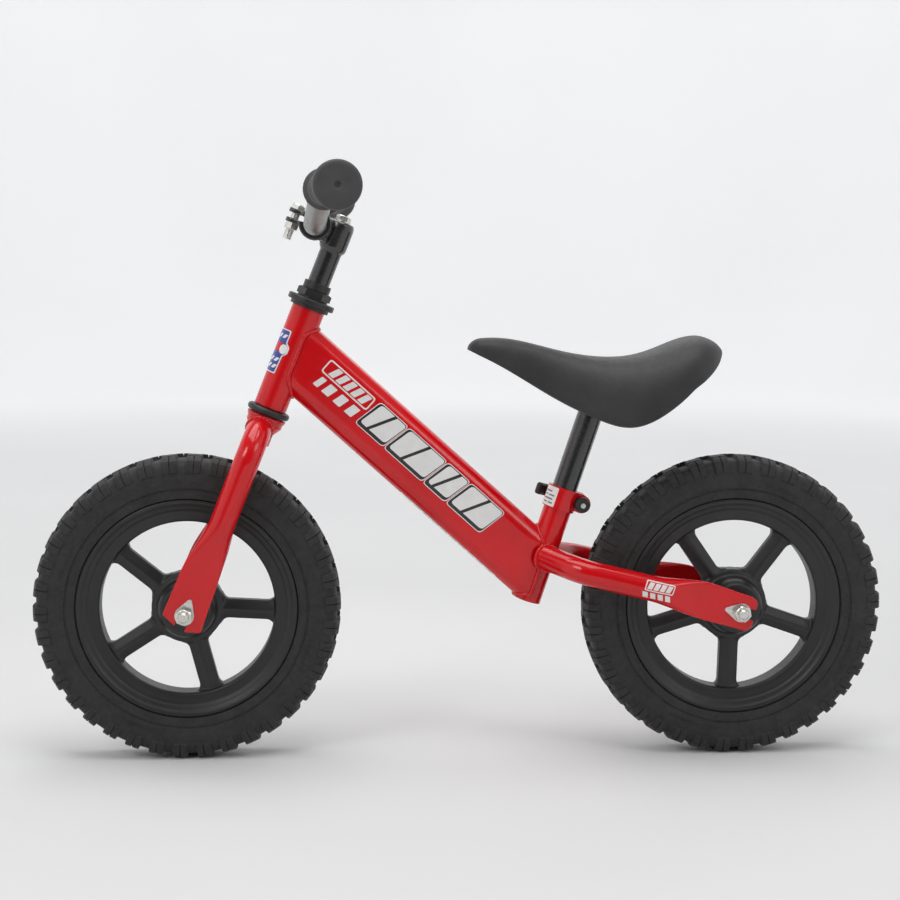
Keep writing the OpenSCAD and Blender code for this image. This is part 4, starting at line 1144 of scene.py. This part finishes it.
def studio_finish():
    """White paper with a painted glow that grows further out, and painted shade that darkens its colour on
    one side.
    """
    f = Finish("studio_paper", (0.8, 0.8, 0.81), 0.9, Specular_IOR_Level=0.1)
    # painted shade: the paper's colour darkens towards one side and further out, standing in for a dark
    # screen there
    painted_shade_facing = f.node("ShaderNodeVectorMath", "DOT_PRODUCT", "Value",
                  f.node("ShaderNodeVectorMath", "NORMALIZE", "Vector", f.space), PAINTED_SHADE_SIDE)
    reach = f.node("ShaderNodeVectorMath", "LENGTH", "Value", f.space)
    shade = f.node("ShaderNodeMath", "MULTIPLY", 0, f.spread(painted_shade_facing, 0, PAINTED_SHADE_DEPTH, *PAINTED_SHADE_EDGE),
                   f.spread(reach, 0, 1, *PAINTED_SHADE_REACH))
    open_side = f.node("ShaderNodeMath", "SUBTRACT", 0, 1.0, shade)
    # painted glow: the paper itself emits light, more of it further out, though no lamp is there
    glow = f.node("ShaderNodeMath", "MULTIPLY", 0, f.spread(reach, 0, PAINTED_PAPER_GLOW, 0.9, 4.2), open_side)
    paper = f.spread(f.noise(700, 2), 0.70, 0.73)
    f.links.new(f.node("ShaderNodeMath", "MULTIPLY", 0, paper, open_side), f.shader.inputs["Base Color"])
    f.set("Emission Color", GLOW_COLOR)
    f.links.new(glow, f.shader.inputs["Emission Strength"])
    return f.material


# The paper's painted shade: the side it darkens, its soft edge, how far out it starts and how dark it gets
PAINTED_SHADE_SIDE = (0.0, 0.97, 0.24)       # towards the dark side
PAINTED_SHADE_EDGE = (0.62, 0.9)             # where its soft edge starts and ends
PAINTED_SHADE_REACH = (2.6, 4.6)             # and how far out it starts
PAINTED_SHADE_DEPTH = 0.86
# strength and colour of the paper's painted glow
PAINTED_PAPER_GLOW, GLOW_COLOR = 0.43, (0.98, 0.985, 1, 1)
FLOOR = studio_finish()
studio()


def softbox(name, at, aim, size, watts):
    data = bpy.data.lights.new(name, "AREA")
    data.shape = "RECTANGLE"
    data.size, data.size_y = size
    data.energy = watts
    light = bpy.data.objects.new(name, data)
    light.location = at
    light.rotation_euler = (Vector(aim) - Vector(at)).to_track_quat("-Z", "Y").to_euler()
    bpy.context.scene.collection.objects.link(light)


softbox("top_light", (0.1, 0.1, 2.3), (0, 0, 0.2), (2.4, 1.6), 36)
softbox("key_light", (1.7, 1.9, 2.1), (0, 0, 0.3), (1.0, 1.0), 17)
softbox("fill_light", (-2.0, 1.7, 1.7), (0, 0, 0.3), (1.0, 1.0), 8)
softbox("rim_light", (-0.6, -2.2, 1.9), (0, 0, 0.3), (2.0, 1.0), 7)

world = bpy.data.worlds.new("studio_air")
world.use_nodes = True
world.node_tree.nodes["Background"].inputs["Color"].default_value = (0.97, 0.98, 1.0, 1)
world.node_tree.nodes["Background"].inputs["Strength"].default_value = 0.3
bpy.context.scene.world = world
bpy.context.scene.view_settings.view_transform = "Standard"
bpy.context.scene.view_settings.look = "None"

CAMERA_AT = (0.13429, 1.71925, 0.50306)
CAMERA_YAW, CAMERA_PITCH, CAMERA_ROLL = (math.radians(a) for a in (-4.02, 6.42, 0.49))
CAMERA_LENS, CAMERA_FILM = 69.3, 36     # focal length and sensor width, in mm
forward = Vector((math.sin(CAMERA_YAW) * math.cos(CAMERA_PITCH),
                  -math.cos(CAMERA_YAW) * math.cos(CAMERA_PITCH),
                  -math.sin(CAMERA_PITCH)))
level = forward.cross(Vector((0, 0, 1))).normalized()
upright = level.cross(forward)
across = level * math.cos(CAMERA_ROLL) + upright * math.sin(CAMERA_ROLL)
upward = upright * math.cos(CAMERA_ROLL) - level * math.sin(CAMERA_ROLL)
lens = bpy.data.cameras.new("photo_camera")
lens.lens, lens.sensor_width = CAMERA_LENS, CAMERA_FILM
camera = bpy.data.objects.new("photo_camera", lens)
camera.matrix_world = Matrix.Translation(CAMERA_AT) @ Matrix((across, upward, -forward)).transposed().to_4x4()
bpy.context.scene.collection.objects.link(camera)
bpy.context.scene.camera = camera
